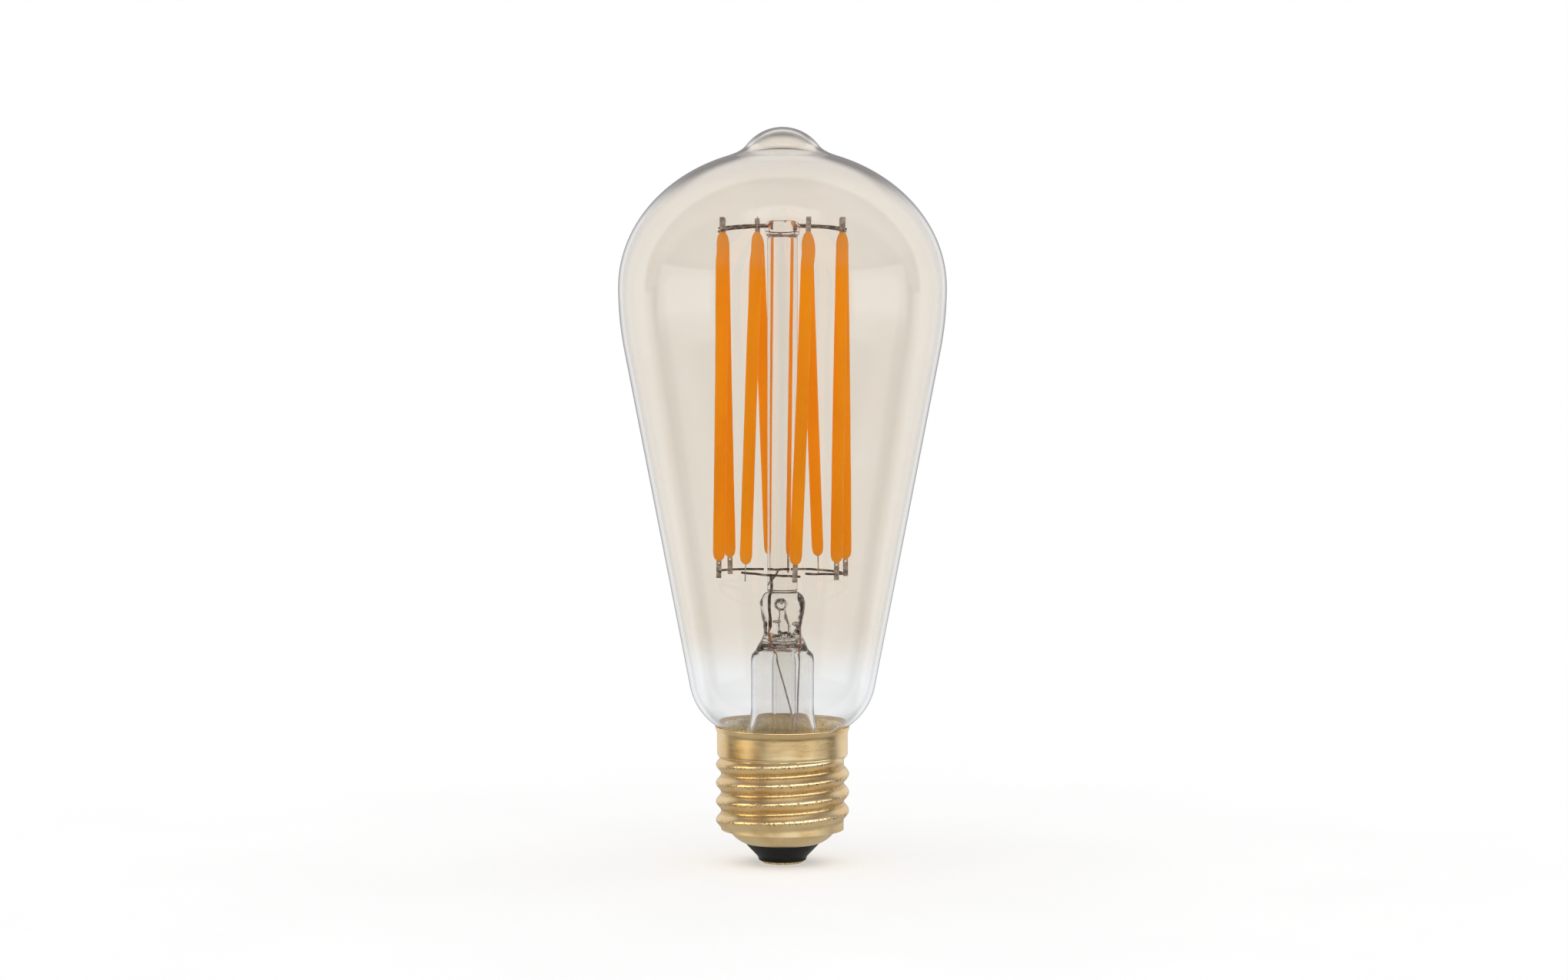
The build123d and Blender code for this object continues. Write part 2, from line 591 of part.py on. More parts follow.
def make_driver_chip():
    """A moulded package with four legs along each long side."""
    x, y = CHIP_AT
    chip = block(*CHIP_PACKAGE, x, y, BOARD_TOP_Z + STAND_OFF)
    for i in range(CHIP_LEGS):
        leg_x = x + (i - (CHIP_LEGS - 1) / 2) * CHIP_LEG_PITCH
        for side in (-1, 1):
            chip += block(*CHIP_LEG, leg_x, y + side * CHIP_LEG_SPREAD, BOARD_TOP_Z)
    PARTS["driver_chip"] = chip


def make_radio():
    """The radio module: a small upright board with a shield can on its outer face."""
    PARTS["radio_board"] = block(*RADIO_BOARD_SIZE, 0, RADIO_BOARD_Y, BOARD_TOP_Z)
    shield_y = RADIO_BOARD_Y + (RADIO_BOARD_SIZE[1] + RADIO_SHIELD_SIZE[1]) / 2
    PARTS["radio_shield"] = block(*RADIO_SHIELD_SIZE, 0, shield_y, BOARD_TOP_Z + RADIO_SHIELD_LIFT)


def make_fuse_resistor():
    """A small resistor body lying over the board on its two bent legs."""
    foot_x, y, body_z = FUSE_LEG_X, FUSE_Y, BOARD_TOP_Z + FUSE_LIFT
    legs = [(-foot_x, y, BOARD_TOP_Z), (-foot_x, y, body_z), (foot_x, y, body_z), (foot_x, y, BOARD_TOP_Z)]
    body = Pos(0, y, body_z) * Rot(0, 90, 0) * Cylinder(FUSE_RADIUS, FUSE_LENGTH)
    PARTS["fuse_resistor"] = wire(legs, FUSE_LEG_RADIUS, 0.6) + fillet(body.edges(), 0.35)


# ---- Assembly ---------------------------------------------------------------------------------
def build():
    PARTS["side_wire"] = side_wire_solid()
    make_cap(PARTS["side_wire"])
    PARTS["glass_envelope"] = envelope_solid(0) - envelope_solid(ENVELOPE_WALL)
    make_sleeve()
    make_driver()

    make_top_wires()
    make_bottom_wires()
    make_filaments([PARTS[name] for name in PARTS if name.startswith(("top_wire", "bottom_wire"))])
    make_lead_wires()
    make_button([PARTS[name] for name in PARTS if name.startswith("support_wire")])
    in_pinch = ["inner_lead_left", "inner_lead_right", "seal_wire_left", "seal_wire_right"]
    make_stem([PARTS[name] for name in in_pinch])

    neck_room = disc(NECK_RADIUS, 0, CEMENT_BOTTOM_Z + 1.0)
    cement = shell_blank(SHEET) & disc(FAR, CEMENT_BOTTOM_Z, CEMENT_TOP_Z)
    PARTS["cap_cement"] = cement - envelope_solid(0) - neck_room - PARTS["side_wire"]


build()
os.makedirs("parts", exist_ok=True)
for name, solid in PARTS.items():
    solid.label = name
    export_step(solid, f"parts/{name}.step")
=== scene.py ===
import json
from math import atan2, cos, exp, pi, radians, sin, sqrt, tan

import bmesh
import bpy
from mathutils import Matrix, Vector, noise


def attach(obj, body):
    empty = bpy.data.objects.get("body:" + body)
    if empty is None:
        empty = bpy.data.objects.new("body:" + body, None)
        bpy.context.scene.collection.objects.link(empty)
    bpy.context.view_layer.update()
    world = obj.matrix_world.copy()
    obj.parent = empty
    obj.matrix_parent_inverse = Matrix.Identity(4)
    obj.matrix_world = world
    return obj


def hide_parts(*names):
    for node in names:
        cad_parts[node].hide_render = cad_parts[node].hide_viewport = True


# The looks of a tall LED filament bulb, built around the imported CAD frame.
# Shapes are written in millimetres, with z = 0 at the underside of the centre contact and -Y the
# front, and turned into metres where a mesh is made.

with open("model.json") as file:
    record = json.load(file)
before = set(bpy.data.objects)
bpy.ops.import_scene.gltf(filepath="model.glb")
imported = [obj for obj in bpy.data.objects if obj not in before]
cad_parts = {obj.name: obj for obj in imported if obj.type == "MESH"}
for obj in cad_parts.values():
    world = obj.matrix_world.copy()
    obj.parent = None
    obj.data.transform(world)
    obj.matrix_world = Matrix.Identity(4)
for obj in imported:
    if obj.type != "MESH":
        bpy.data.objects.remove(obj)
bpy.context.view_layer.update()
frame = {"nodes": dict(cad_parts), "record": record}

MM = 0.001
scene = bpy.context.scene

# ---- Sizes that the pieces share, as in the CAD model ----
BULB_RADIUS = 32.0
TIP_Z = 144.0
EQUATOR_Z = 112.8
DOME_HEIGHT = 27.2
NECK_RADIUS = 11.2
NECK_BOTTOM_Z = 22.0
WALL = 0.8
CONE_ANGLE = 10.94

SHEET = 0.3
HOLE_RADIUS = 7.4
HOLE_Z = 4.0
HEEL_Z = 6.9
HEEL_RADIUS = 10.75
BARREL_Z = (9.2, 20.3)
COLLAR_RADIUS = 12.83
COLLAR_BOTTOM_Z = 21.6
COLLAR_TOP_Z = 25.4
RIM_RADIUS = 13.2
RIM_EDGE_Z = 26.75
THREADED_Z = (6.5, 22.0)
THREAD_ROOT = 12.03
THREAD_DEPTH = 1.05
THREAD_PITCH = 3.629
THREAD_TURNS = 3.9
THREAD_START_Z = 6.7

FLARE_RADIUS = 6.15
FLARE_WALL = 0.9
PINCH_TOP_Z = 53.45
EXHAUST_X = 0.3
ROD_TOP_Z = 122.7
BUTTON_TOP_Z = 125.9

RING_RADIUS = 12.61
RING_BOTTOM_Z = 57.0
RING_TOP_Z = 124.7
TWIST = 12.0
FILAMENT_AZIMUTHS = [-67.5, -22.5, 22.5, 67.5, 112.5, 157.5, 202.5, 247.5]
EDGE_ON_FILAMENTS = [2, 6]
LAPPED_FILAMENTS = [3, 7]
LAP = 0.375
COAT_RADIUS = 1.2
COAT_START = 2.7
COAT_END_GAP = 1.1
COAT_ROUND = 2.0
COAT_TOP_REACH = 2.8
COAT_MOUTH = 0.42
COAT_SIDES = 48
COAT_SEAMS = (6, 30)

CAMERA_DISTANCE = 0.8
CAMERA_ELEVATION = 3.5
CAMERA_LENS = 94.0
AIM = Vector((0.0003, 0.0, 0.0733))

# ---- Studio: how bright each part of it is, and where it stands ----
WHITE = (1.0, 1.0, 1.0)
CEILING = (0.16, 0.155, 0.15)
GAP = (0.30, 0.29, 0.30)
ROOM_LOW = (0.05, 0.05, 0.05)
ROOM_HIGH = (0.20, 0.20, 0.23)
PANEL = (0.70, 0.74, 0.84)
COVE = (0.86, 0.87, 0.89)
COVE_MIDDLE = (0.36, 0.36, 0.38)
CARD = (0.50, 0.49, 0.47)
STRIP = (0.9, 0.9, 0.9)
TABLE_GLOW = 0.34
TABLE_HALF = 4.0
# Angles from the front between which the panels and, on the floor, the cove fade in or out.
PANEL_START = (radians(47), radians(53))
PANEL_END = (radians(99), radians(94))
FLOOR_COVE_START = (radians(100), radians(116))
FLOOR_COVE_MIDDLE = (radians(156), radians(172))
# On the floor, distances in metres from the bulb between which each part fades in or out.
FLOOR_PANEL_REACH = (0.32, 1.1)
FLOOR_CARD_REACH = (0.085, 0.045)
FLOOR_WHITE_REACH = (0.08, 0.40)
# In the world, components of a unit direction between which each part fades in or out.
ROOM_RISE = (0.30, 0.42)
PANEL_TOP = (0.29, 0.25)
COVE_FRONT = (0.34, 0.42)
COVE_CENTRE = (0.94, 0.995)
GAP_BOTTOM = (0.10, 0.18)
GAP_TOP = (0.60, 0.45)
GAP_FRONT = (0.34, 0.60)
GAP_SIDES = (0.25, 0.0)
GAP_WIDENING = 0.55
STRIP_Y = -0.26
STRIP_ENDS = (0.40, 0.28)
STRIP_EDGES = (0.12, 0.06)
STRIP_LOWEST = (0.80, 0.85)
CEILING_EDGE = (0.12, 0.26)
# Each lamp has a name, a place and a size in metres, a power in watts and a colour.
LAMPS = [
    ("cement_light", (0.0, -0.12, 0.42), (0.25, 0.25), 1.2, (1.0, 0.82, 0.50)),
    ("front_light", (0.12, -0.55, 0.16), (1.1, 0.4), 3.4, (1.0, 1.0, 1.0)),
    ("left_light", (-0.55, -0.20, 0.12), (0.4, 0.4), 1.3, (1.0, 0.78, 0.45)),
    ("right_light", (0.5, -0.20, 0.10), (0.4, 0.4), 0.7, (1.0, 1.0, 1.0)),
]
METAL_LIGHT_SLOTS = ["cap_brass", "brass", "cement", "strip_steel"]
METAL_LIGHT_SLOTS += ["nickel_wire", "copper_clad", "tinned_wire"]
CEMENT_LIGHT_SLOTS = ["cement", "white_plastic"]
LIGHT_AIM = Vector((0, 0, 0.02))
LIGHT_BLOCKERS = ["screw_shell", "contact_disc", "insulator"]


# ---- Outlines ----
def arc(centre, radius_x, radius_z, start, end, steps):
    """Points along an arc of a circle or an ellipse in the (radius, z) plane, angles in degrees."""
    angles = [radians(start + (end - start) * i / steps) for i in range(steps + 1)]
    return [(centre[0] + radius_x * cos(a), centre[1] + radius_z * sin(a)) for a in angles]


def flow(start, start_way, end, end_way, steps):
    """A smooth curve between two points that leaves and arrives along the given directions."""
    p0, p1 = Vector(start), Vector(end)
    chord = (p1 - p0).length
    t0, t1 = Vector(start_way).normalized() * chord, Vector(end_way).normalized() * chord
    points = []
    for i in range(steps + 1):
        t = i / steps
        a = 2 * t**3 - 3 * t**2 + 1
        b = t**3 - 2 * t**2 + t
        c = -2 * t**3 + 3 * t**2
        d = t**3 - t**2
        points.append(tuple(p0 * a + t0 * b + p1 * c + t1 * d))
    return points


def run(start, end, steps):
    """Points along a straight line."""
    p0, p1 = Vector(start), Vector(end)
    return [tuple(p0.lerp(p1, i / steps)) for i in range(steps + 1)]


def chain(*stretches):
    """Joins stretches into one outline and drops the points that repeat."""
    points = []
    for stretch in stretches:
        for p in stretch:
            if not points or (Vector(p) - Vector(points[-1])).length > 1e-6:
                points.append(p)
    return points


def through(points, steps):
    """A smooth curve through points of any dimension."""
    knots = [Vector(p) for p in points]
    knots = [knots[0] * 2 - knots[1]] + knots + [knots[-1] * 2 - knots[-2]]
    curve = []
    for a, b, c, d in zip(knots, knots[1:], knots[2:], knots[3:]):
        for i in range(steps):
            t = i / steps
            square = 2 * a - 5 * b + 4 * c - d
            cube = 3 * b - a - 3 * c + d
            curve.append(0.5 * (2 * b + (c - a) * t + square * t**2 + cube * t**3))
    return curve + [knots[-2]]


def smooth_step(low, high, value):
    t = min(max((value - low) / (high - low), 0.0), 1.0)
    return t * t * (3 - 2 * t)


def polar(azimuth, z, radius=RING_RADIUS):
    """A point at an azimuth measured from the front, growing towards +X."""
    return Vector((radius * sin(radians(azimuth)), -radius * cos(radians(azimuth)), z))


# ---- Mesh makers ----
def loft(bm, rings, wrap=False, flip=False):
    """Faces between rings of points; a ring of one point closes an end."""
    made = []
    for ring in rings:
        made.append([bm.verts.new(Vector(p) * MM) for p in ring])
    pairs = list(zip(made, made[1:])) + ([(made[-1], made[0])] if wrap else [])
    faces = []
    for low, high in pairs:
        count = max(len(low), len(high))
        for i in range(count):
            j = (i + 1) % count
            corners = [low[i % len(low)], low[j % len(low)], high[j % len(high)], high[i % len(high)]]
            corners = list(dict.fromkeys(corners))
            faces.append(bm.faces.new(corners))
    if not wrap:
        for end in (made[0], made[-1]):
            if len(end) > 2:
                faces.append(bm.faces.new(end))
    bmesh.ops.recalc_face_normals(bm, faces=faces)
    if flip:
        bmesh.ops.reverse_faces(bm, faces=faces)


def finish_mesh(bm, name, slot, node, sharp=40.0):
    """Turns a bmesh into a piece of the bulb that stands for a CAD node."""
    mesh = bpy.data.meshes.new(name)
    bm.to_mesh(mesh)
    bm.free()
    mesh.polygons.foreach_set("use_smooth", [True] * len(mesh.polygons))
    mesh.set_sharp_from_angle(angle=radians(sharp))
    mesh.materials.append(LOOKS[slot])
    piece = bpy.data.objects.new(name, mesh)
    scene.collection.objects.link(piece)
    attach(piece, "root")
    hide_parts(node)


def add_piece(name, slot, node, rings, wrap=False, sharp=40.0):
    """A piece made of one loft."""
    bm = bmesh.new()
    loft(bm, rings, wrap)
    finish_mesh(bm, name, slot, node, sharp)


def lathe_rings(outline, segments, shape=None, centre=(0.0, 0.0)):
    """Rings of a turned form; shape(angle, radius, z) may move each ring point's radius and height."""
    rings = []
    for radius, z in outline:
        if radius < 1e-6:
            rings.append([(centre[0], centre[1], z)])
            continue
        ring = []
        for i in range(segments):
            angle = 2 * pi * i / segments
            r, height = shape(angle, radius, z) if shape else (radius, z)
            ring.append((centre[0] + r * cos(angle), centre[1] + r * sin(angle), height))
        rings.append(ring)
    return rings


def tube_rings(path, radius, sides):
    """Rings of a round bar along a path, with rounded ends; radius may be a function of 0..1."""
    path = [Vector(p) for p in path]
    size = radius if callable(radius) else (lambda t: radius)
    stops = [(p, i / (len(path) - 1)) for i, p in enumerate(path)]
    tangents = []
    for i in range(len(path)):
        before, after = path[max(i - 1, 0)], path[min(i + 1, len(path) - 1)]
        tangents.append((after - before).normalized())
    side = tangents[0].orthogonal().normalized()
    rings = []
    for (point, t), tangent in zip(stops, tangents):
        side = (side - tangent * side.dot(tangent)).normalized()
        other = tangent.cross(side)
        r = size(t)
        rings.append((point, side * r, other * r, tangent * r))
    steps = [80, 60, 35]
    start = [(rings[0], -sin(radians(a)), cos(radians(a))) for a in steps]
    end = [(rings[-1], sin(radians(a)), cos(radians(a))) for a in reversed(steps)]
    made = []
    for (point, across, up, along), shift, shrink in start + [(ring, 0.0, 1.0) for ring in rings] + end:
        turns = [2 * pi * k / sides for k in range(sides)]
        made.append([point + along * shift + (across * cos(a) + up * sin(a)) * shrink for a in turns])
    return made


def bead(bm, centre, size, sides=12):
    """A small smooth blob, such as a weld or a drop of solder."""
    rings = []
    for i in range(sides // 2 + 1):
        a = pi * i / (sides // 2) - pi / 2
        z = centre[2] + size[2] * sin(a)
        if i in (0, sides // 2):
            rings.append([(centre[0], centre[1], z)])
            continue
        wide, deep = size[0] * cos(a), size[1] * cos(a)
        turns = [2 * pi * k / sides for k in range(sides)]
        rings.append([(centre[0] + wide * cos(t), centre[1] + deep * sin(t), z) for t in turns])
    loft(bm, rings)


def lumps(x, y, z, size, seed=0.0):
    """Smooth noise from -1 to 1 over lumps of about this size in millimetres."""
    return noise.noise(Vector((x + seed * 17.3, y - seed * 9.1, z + seed * 5.7)) / size)


# ---- Materials ----
class Nodes:
    """Short ways to write a node tree."""

    def __init__(self, tree):
        self.tree = tree

    def add(self, kind, inputs=None, **properties):
        node = self.tree.nodes.new(kind)
        for key, value in properties.items():
            setattr(node, key, value)
        for key, value in (inputs or {}).items():
            self.feed(node.inputs[key], value)
        return node

    def feed(self, socket, value):
        if isinstance(value, bpy.types.NodeSocket):
            self.tree.links.new(value, socket)
        else:
            socket.default_value = value

    def math(self, operation, first, second=0.0):
        return self.add("ShaderNodeMath", {0: first, 1: second}, operation=operation).outputs[0]

    def ramp(self, value, low=0.3, high=0.7, to_low=0.0, to_high=1.0):
        """A smooth step from to_low to to_high as the value goes from low to high."""
        inputs = {"Value": value, "From Min": low, "From Max": high, "To Min": to_low, "To Max": to_high}
        return self.add("ShaderNodeMapRange", inputs, interpolation_type="SMOOTHSTEP").outputs["Result"]

    def times(self, first, second):
        return self.math("MULTIPLY", first, second)

    def reach(self, x, y):
        """The distance from the bulb's axis."""
        return self.math("SQRT", self.math("ADD", self.times(x, x), self.times(y, y)))

    def blend(self, factor, first, second):
        node = self.add("ShaderNodeMix", data_type="RGBA")
        for index, value in ((0, factor), (6, first), (7, second)):
            if not isinstance(value, bpy.types.NodeSocket) and index:
                value = (*value, 1.0)
            self.feed(node.inputs[index], value)
        return node.outputs[2]


class Look(Nodes):
    """A material: a Principled shader fed by procedural nodes in the bulb's own space."""

    def __init__(self, name, **constants):
        self.material = bpy.data.materials.new(name)
        self.material.use_nodes = True
        super().__init__(self.material.node_tree)
        self.shader = self.tree.nodes["Principled BSDF"]
        self.place = self.add("ShaderNodeTexCoord").outputs["Object"]
        axes = self.add("ShaderNodeSeparateXYZ", {"Vector": self.place})
        self.x, self.y, self.z = (axes.outputs[i] for i in range(3))
        for key, value in constants.items():
            self.shader.inputs[key.replace("_", " ").title().replace("Ior", "IOR")].default_value = value

    def noise(self, size, detail=3.0, stretch=(1.0, 1.0, 1.0)):
        place = self.add("ShaderNodeMapping", {"Vector": self.place, "Scale": stretch}).outputs["Vector"]
        inputs = {"Vector": place, "Scale": 1 / (size * MM), "Detail": detail}
        return self.add("ShaderNodeTexNoise", inputs).outputs["Fac"]

    def cells(self, size):
        inputs = {"Vector": self.place, "Scale": 1 / (size * MM)}
        return self.add("ShaderNodeTexVoronoi", inputs).outputs["Distance"]

    def colour(self, value):
        self.feed(self.shader.inputs["Base Color"], value)

    def roughness(self, value, low, high):
        self.feed(self.shader.inputs["Roughness"], self.ramp(value, 0.3, 0.7, low, high))

    def bump(self, height, strength, depth):
        inputs = {"Height": height, "Strength": strength, "Distance": depth * MM}
        self.feed(self.shader.inputs["Normal"], self.add("ShaderNodeBump", inputs).outputs["Normal"])

    def plain(self, dark, light, size, rough, bump=(0.2, 0.02)):
        """An even finish: two near colours mottled together, uneven gloss and a fine grain."""
        mottle = self.noise(size, 4.0)
        grain = self.noise(size / 6, 2.0)
        self.colour(self.blend(self.ramp(mottle), dark, light))
        self.roughness(grain, *rough)
        self.bump(grain, *bump)
        return self.material


def envelope_look():
    """Clear glass whose amber coat thins out to nothing above the neck."""
    look = Look("envelope_look", transmission_weight=1.0, ior=1.5, roughness=0.0)
    drift = look.ramp(look.noise(9.0, 2.0), 0.3, 0.7, -0.0012, 0.0012)
    height = look.math("ADD", look.z, drift)
    cover = look.ramp(height, 0.0350, 0.0465)
    patches = look.ramp(look.noise(14.0, 2.0), 0.35, 0.65)
    coat = look.blend(patches, (0.926, 0.888, 0.830), (0.918, 0.876, 0.812))
    look.colour(look.blend(cover, (0.985, 0.990, 0.990), coat))
    return look.material


def clear_glass_look():
    """The stem's glass: clear, with the faint drawn streaks of tubing."""
    look = Look("clear_glass_look", transmission_weight=1.0, ior=1.52, roughness=0.0)
    streaks = look.noise(1.2, 2.0, (1.0, 1.0, 0.08))
    look.colour(look.blend(look.ramp(streaks), (0.995, 0.985, 0.965), (1.0, 0.998, 0.99)))
    look.bump(streaks, 0.12, 0.05)
    return look.material


def cap_brass_look():
    """Rolled brass: satin, with fine lines round it, painted shade in the grooves and dark scuffs on the
    crests.
    """
    look = Look("cap_brass_look", metallic=1.0)
    radius = look.reach(look.x, look.y)
    clouds = look.noise(5.0, 4.0)
    specks = look.noise(0.45, 3.0)
    lines = look.noise(0.25, 2.0, (0.06, 0.06, 1.0))
    body = look.blend(look.ramp(clouds, 0.35, 0.65), (0.83, 0.59, 0.29), (0.89, 0.70, 0.40))
    # Painted shade: the thread grooves are coloured dark brown, broken up by specks, where shade and dark
    # reflections fall.
    groove = look.ramp(radius, 0.01215, 0.0125, 1.0, 0.0)
    threaded = look.times(look.ramp(look.z, 0.0075, 0.0095), look.ramp(look.z, 0.0215, 0.0205))
    groove_shade = look.times(look.times(groove, threaded), look.ramp(specks, 0.35, 0.75, 0.40, 0.95))
    body = look.blend(groove_shade, body, (0.50, 0.30, 0.10))
    crest = look.ramp(radius, 0.01292, 0.01305)
    scuffs = look.times(crest, look.ramp(look.noise(0.30, 3.0), 0.52, 0.62))
    look.colour(look.blend(look.times(scuffs, threaded), body, (0.30, 0.17, 0.06)))
    look.roughness(look.math("ADD", look.times(clouds, 0.5), look.times(lines, 0.5)), 0.26, 0.38)
    look.bump(look.math("ADD", lines, specks), 0.06, 0.02)
    return look.material


def contact_brass_look():
    look = Look("contact_brass_look", metallic=1.0)
    rings = look.noise(0.35, 3.0)
    look.colour(look.blend(look.ramp(rings, 0.35, 0.7), (0.66, 0.45, 0.18), (0.86, 0.68, 0.36)))
    look.roughness(rings, 0.22, 0.42)
    look.bump(rings, 0.2, 0.02)
    return look.material


def black_glass_look():
    """Moulded black glass, semi-matt, with faint flow marks."""
    look = Look("black_glass_look", specular_ior_level=0.14)
    flow_marks = look.noise(1.8, 4.0, (0.5, 0.5, 2.0))
    look.colour(look.blend(look.ramp(flow_marks), (0.006, 0.006, 0.0065), (0.014, 0.0135, 0.013)))
    look.roughness(flow_marks, 0.34, 0.5)
    look.bump(look.noise(0.25, 3.0), 0.18, 0.02)
    return look.material


def cement_look():
    """Cured lamp cement: gold-brown, porous and uneven."""
    look = Look("cement_look")
    pores = look.cells(0.55)
    clumps = look.noise(1.1, 5.0)
    base = look.blend(look.ramp(clumps, 0.35, 0.65), (0.86, 0.66, 0.34), (1.0, 0.88, 0.60))
    look.colour(look.blend(look.ramp(pores, 0.15, 0.4, 0.35, 0.0), base, (0.45, 0.30, 0.12)))
    look.roughness(clumps, 0.55, 0.85)
    look.bump(look.math("ADD", clumps, look.times(pores, -0.8)), 0.7, 0.25)
    return look.material


def phosphor_look():
    """Orange phosphor in silicone: saturated, a little duller and browner at its ends, with a painted orange
    glow.
    """
    # Painted glow: an orange emission makes the coats shine brighter than the light that reaches them.
    look = Look("phosphor_look", specular_ior_level=0.12, emission_strength=0.36)
    look.shader.inputs["Emission Color"].default_value = (1.0, 0.34, 0.0, 1.0)
    grain = look.noise(0.35, 4.0)
    drift = look.noise(6.0, 2.0, (1.0, 1.0, 0.35))
    body = look.blend(look.ramp(drift, 0.35, 0.65), (0.80, 0.235, 0.004), (0.88, 0.285, 0.006))
    body = look.blend(look.ramp(grain, 0.55, 0.8, 0.0, 0.25), body, (0.93, 0.37, 0.03))
    top_end = look.ramp(look.z, 0.1130, 0.1245)
    low_end = look.ramp(look.z, 0.0640, 0.0585)
    ends = look.math("MAXIMUM", top_end, look.times(low_end, 0.5))
    look.colour(look.blend(look.times(ends, 0.8), body, (0.62, 0.29, 0.10)))
    look.roughness(grain, 0.32, 0.5)
    look.bump(grain, 0.25, 0.06)
    return look.material


def strip_look():
    """Plated steel tab, heat-tinted and dull."""
    look = Look("strip_look", metallic=0.45)
    stains = look.noise(0.8, 4.0)
    brushed = look.noise(0.15, 2.0, (1.0, 1.0, 0.1))
    look.colour(look.blend(look.ramp(stains, 0.35, 0.65), (0.32, 0.27, 0.22), (0.62, 0.56, 0.50)))
    look.roughness(brushed, 0.3, 0.5)
    look.bump(brushed, 0.25, 0.02)
    return look.material


def ring_wire_look():
    """Darkened nickel wire with bright drawn patches."""
    look = Look("ring_wire_look", metallic=0.55)
    patches = look.noise(1.6, 3.0)
    scale = look.noise(0.2, 3.0)
    body = look.blend(look.ramp(patches, 0.45, 0.7), (0.10, 0.075, 0.06), (0.42, 0.36, 0.31))
    look.colour(look.blend(look.ramp(scale, 0.5, 0.8, 0.0, 0.5), body, (0.05, 0.035, 0.03)))
    look.roughness(scale, 0.28, 0.5)
    look.bump(scale, 0.3, 0.03)
    return look.material


def copper_clad_look():
    """Reddish copper-clad wire, oxidised in patches."""
    look = Look("copper_clad_look", metallic=0.5)
    patches = look.noise(0.7, 4.0)
    look.colour(look.blend(look.ramp(patches, 0.35, 0.65), (0.30, 0.11, 0.07), (0.62, 0.33, 0.22)))
    look.roughness(patches, 0.25, 0.45)
    look.bump(look.noise(0.15, 2.0), 0.25, 0.02)
    return look.material


def tinned_wire_look():
    look = Look("tinned_wire_look", metallic=0.5)
    return look.plain((0.33, 0.30, 0.31), (0.60, 0.57, 0.57), 0.6, (0.25, 0.45))


def solder_look():
    look = Look("solder_look", metallic=1.0)
    return look.plain((0.42, 0.42, 0.41), (0.66, 0.66, 0.64), 0.5, (0.3, 0.55), (0.4, 0.05))


def circuit_board_look():
    """Green solder mask over faint copper traces."""
    look = Look("circuit_board_look", coat_weight=0.3, coat_roughness=0.15)
    black, white = (0, 0, 0, 1), (1, 1, 1, 1)
    inputs = {"Vector": look.place, "Scale": 900.0, "Mortar Size": 0.03}
    inputs.update({"Color1": black, "Color2": black, "Mortar": white})
    traces = look.add("ShaderNodeTexBrick", inputs).outputs["Color"]
    weave = look.noise(0.4, 3.0)
    mask = look.blend(look.ramp(weave), (0.015, 0.10, 0.035), (0.025, 0.15, 0.055))
    look.colour(look.blend(traces, mask, (0.06, 0.26, 0.10)))
    look.roughness(weave, 0.25, 0.4)
    look.bump(traces, 0.3, 0.05)
    return look.material


def winding_look():
    """Enamelled copper turns lying side by side, with painted shade in the dark bands between them."""
    look = Look("winding_look", metallic=1.0)
    inputs = {"Vector": look.place, "Scale": 900.0}
    turns = look.add("ShaderNodeTexWave", inputs, bands_direction="Z").outputs["Fac"]
    # Painted shade: the dark half of each band stands for the shade between neighbouring turns.
    look.colour(look.blend(turns, (0.25, 0.07, 0.02), (0.78, 0.32, 0.12)))
    look.roughness(look.noise(0.3), 0.2, 0.35)
    look.bump(turns, 0.8, 0.1)
    return look.material


LOOKS = {
    "amber_glass": envelope_look(),
    "clear_glass": clear_glass_look(),
    "cap_brass": cap_brass_look(),
    "brass": contact_brass_look(),
    "black_glass": black_glass_look(),
    "cement": cement_look(),
    "phosphor": phosphor_look(),
    "strip_steel": strip_look(),
    "nickel_wire": ring_wire_look(),
    "copper_clad": copper_clad_look(),
    "tinned_wire": tinned_wire_look(),
    "solder": solder_look(),
    "circuit_board": circuit_board_look(),
    "copper": winding_look(),
    "white_plastic": Look("white_plastic_look").plain(
        (0.74, 0.74, 0.71), (0.83, 0.83, 0.80), 2.5, (0.35, 0.5)
    ),
    "black_plastic": Look("black_plastic_look").plain(
        (0.012, 0.012, 0.013), (0.03, 0.03, 0.032), 0.8, (0.45, 0.65)
    ),
    "capacitor_sleeve": Look("sleeve_look").plain(
        (0.012, 0.014, 0.04), (0.03, 0.032, 0.07), 2.0, (0.2, 0.35)
    ),
    "ferrite": Look("ferrite_look").plain(
        (0.03, 0.03, 0.032), (0.08, 0.08, 0.082), 0.5, (0.5, 0.75)
    ),
    "tin_plate": Look("tin_plate_look", metallic=1.0).plain(
        (0.55, 0.55, 0.53), (0.74, 0.74, 0.71), 1.2, (0.25, 0.4)
    ),
    "resistor_body": Look("resistor_look").plain(
        (0.26, 0.33, 0.24), (0.38, 0.45, 0.34), 0.7, (0.5, 0.7)
    ),
    "chip_blue": Look("chip_look").plain(
        (0.10, 0.16, 0.32), (0.20, 0.28, 0.48), 0.2, (0.1, 0.25)
    ),
}


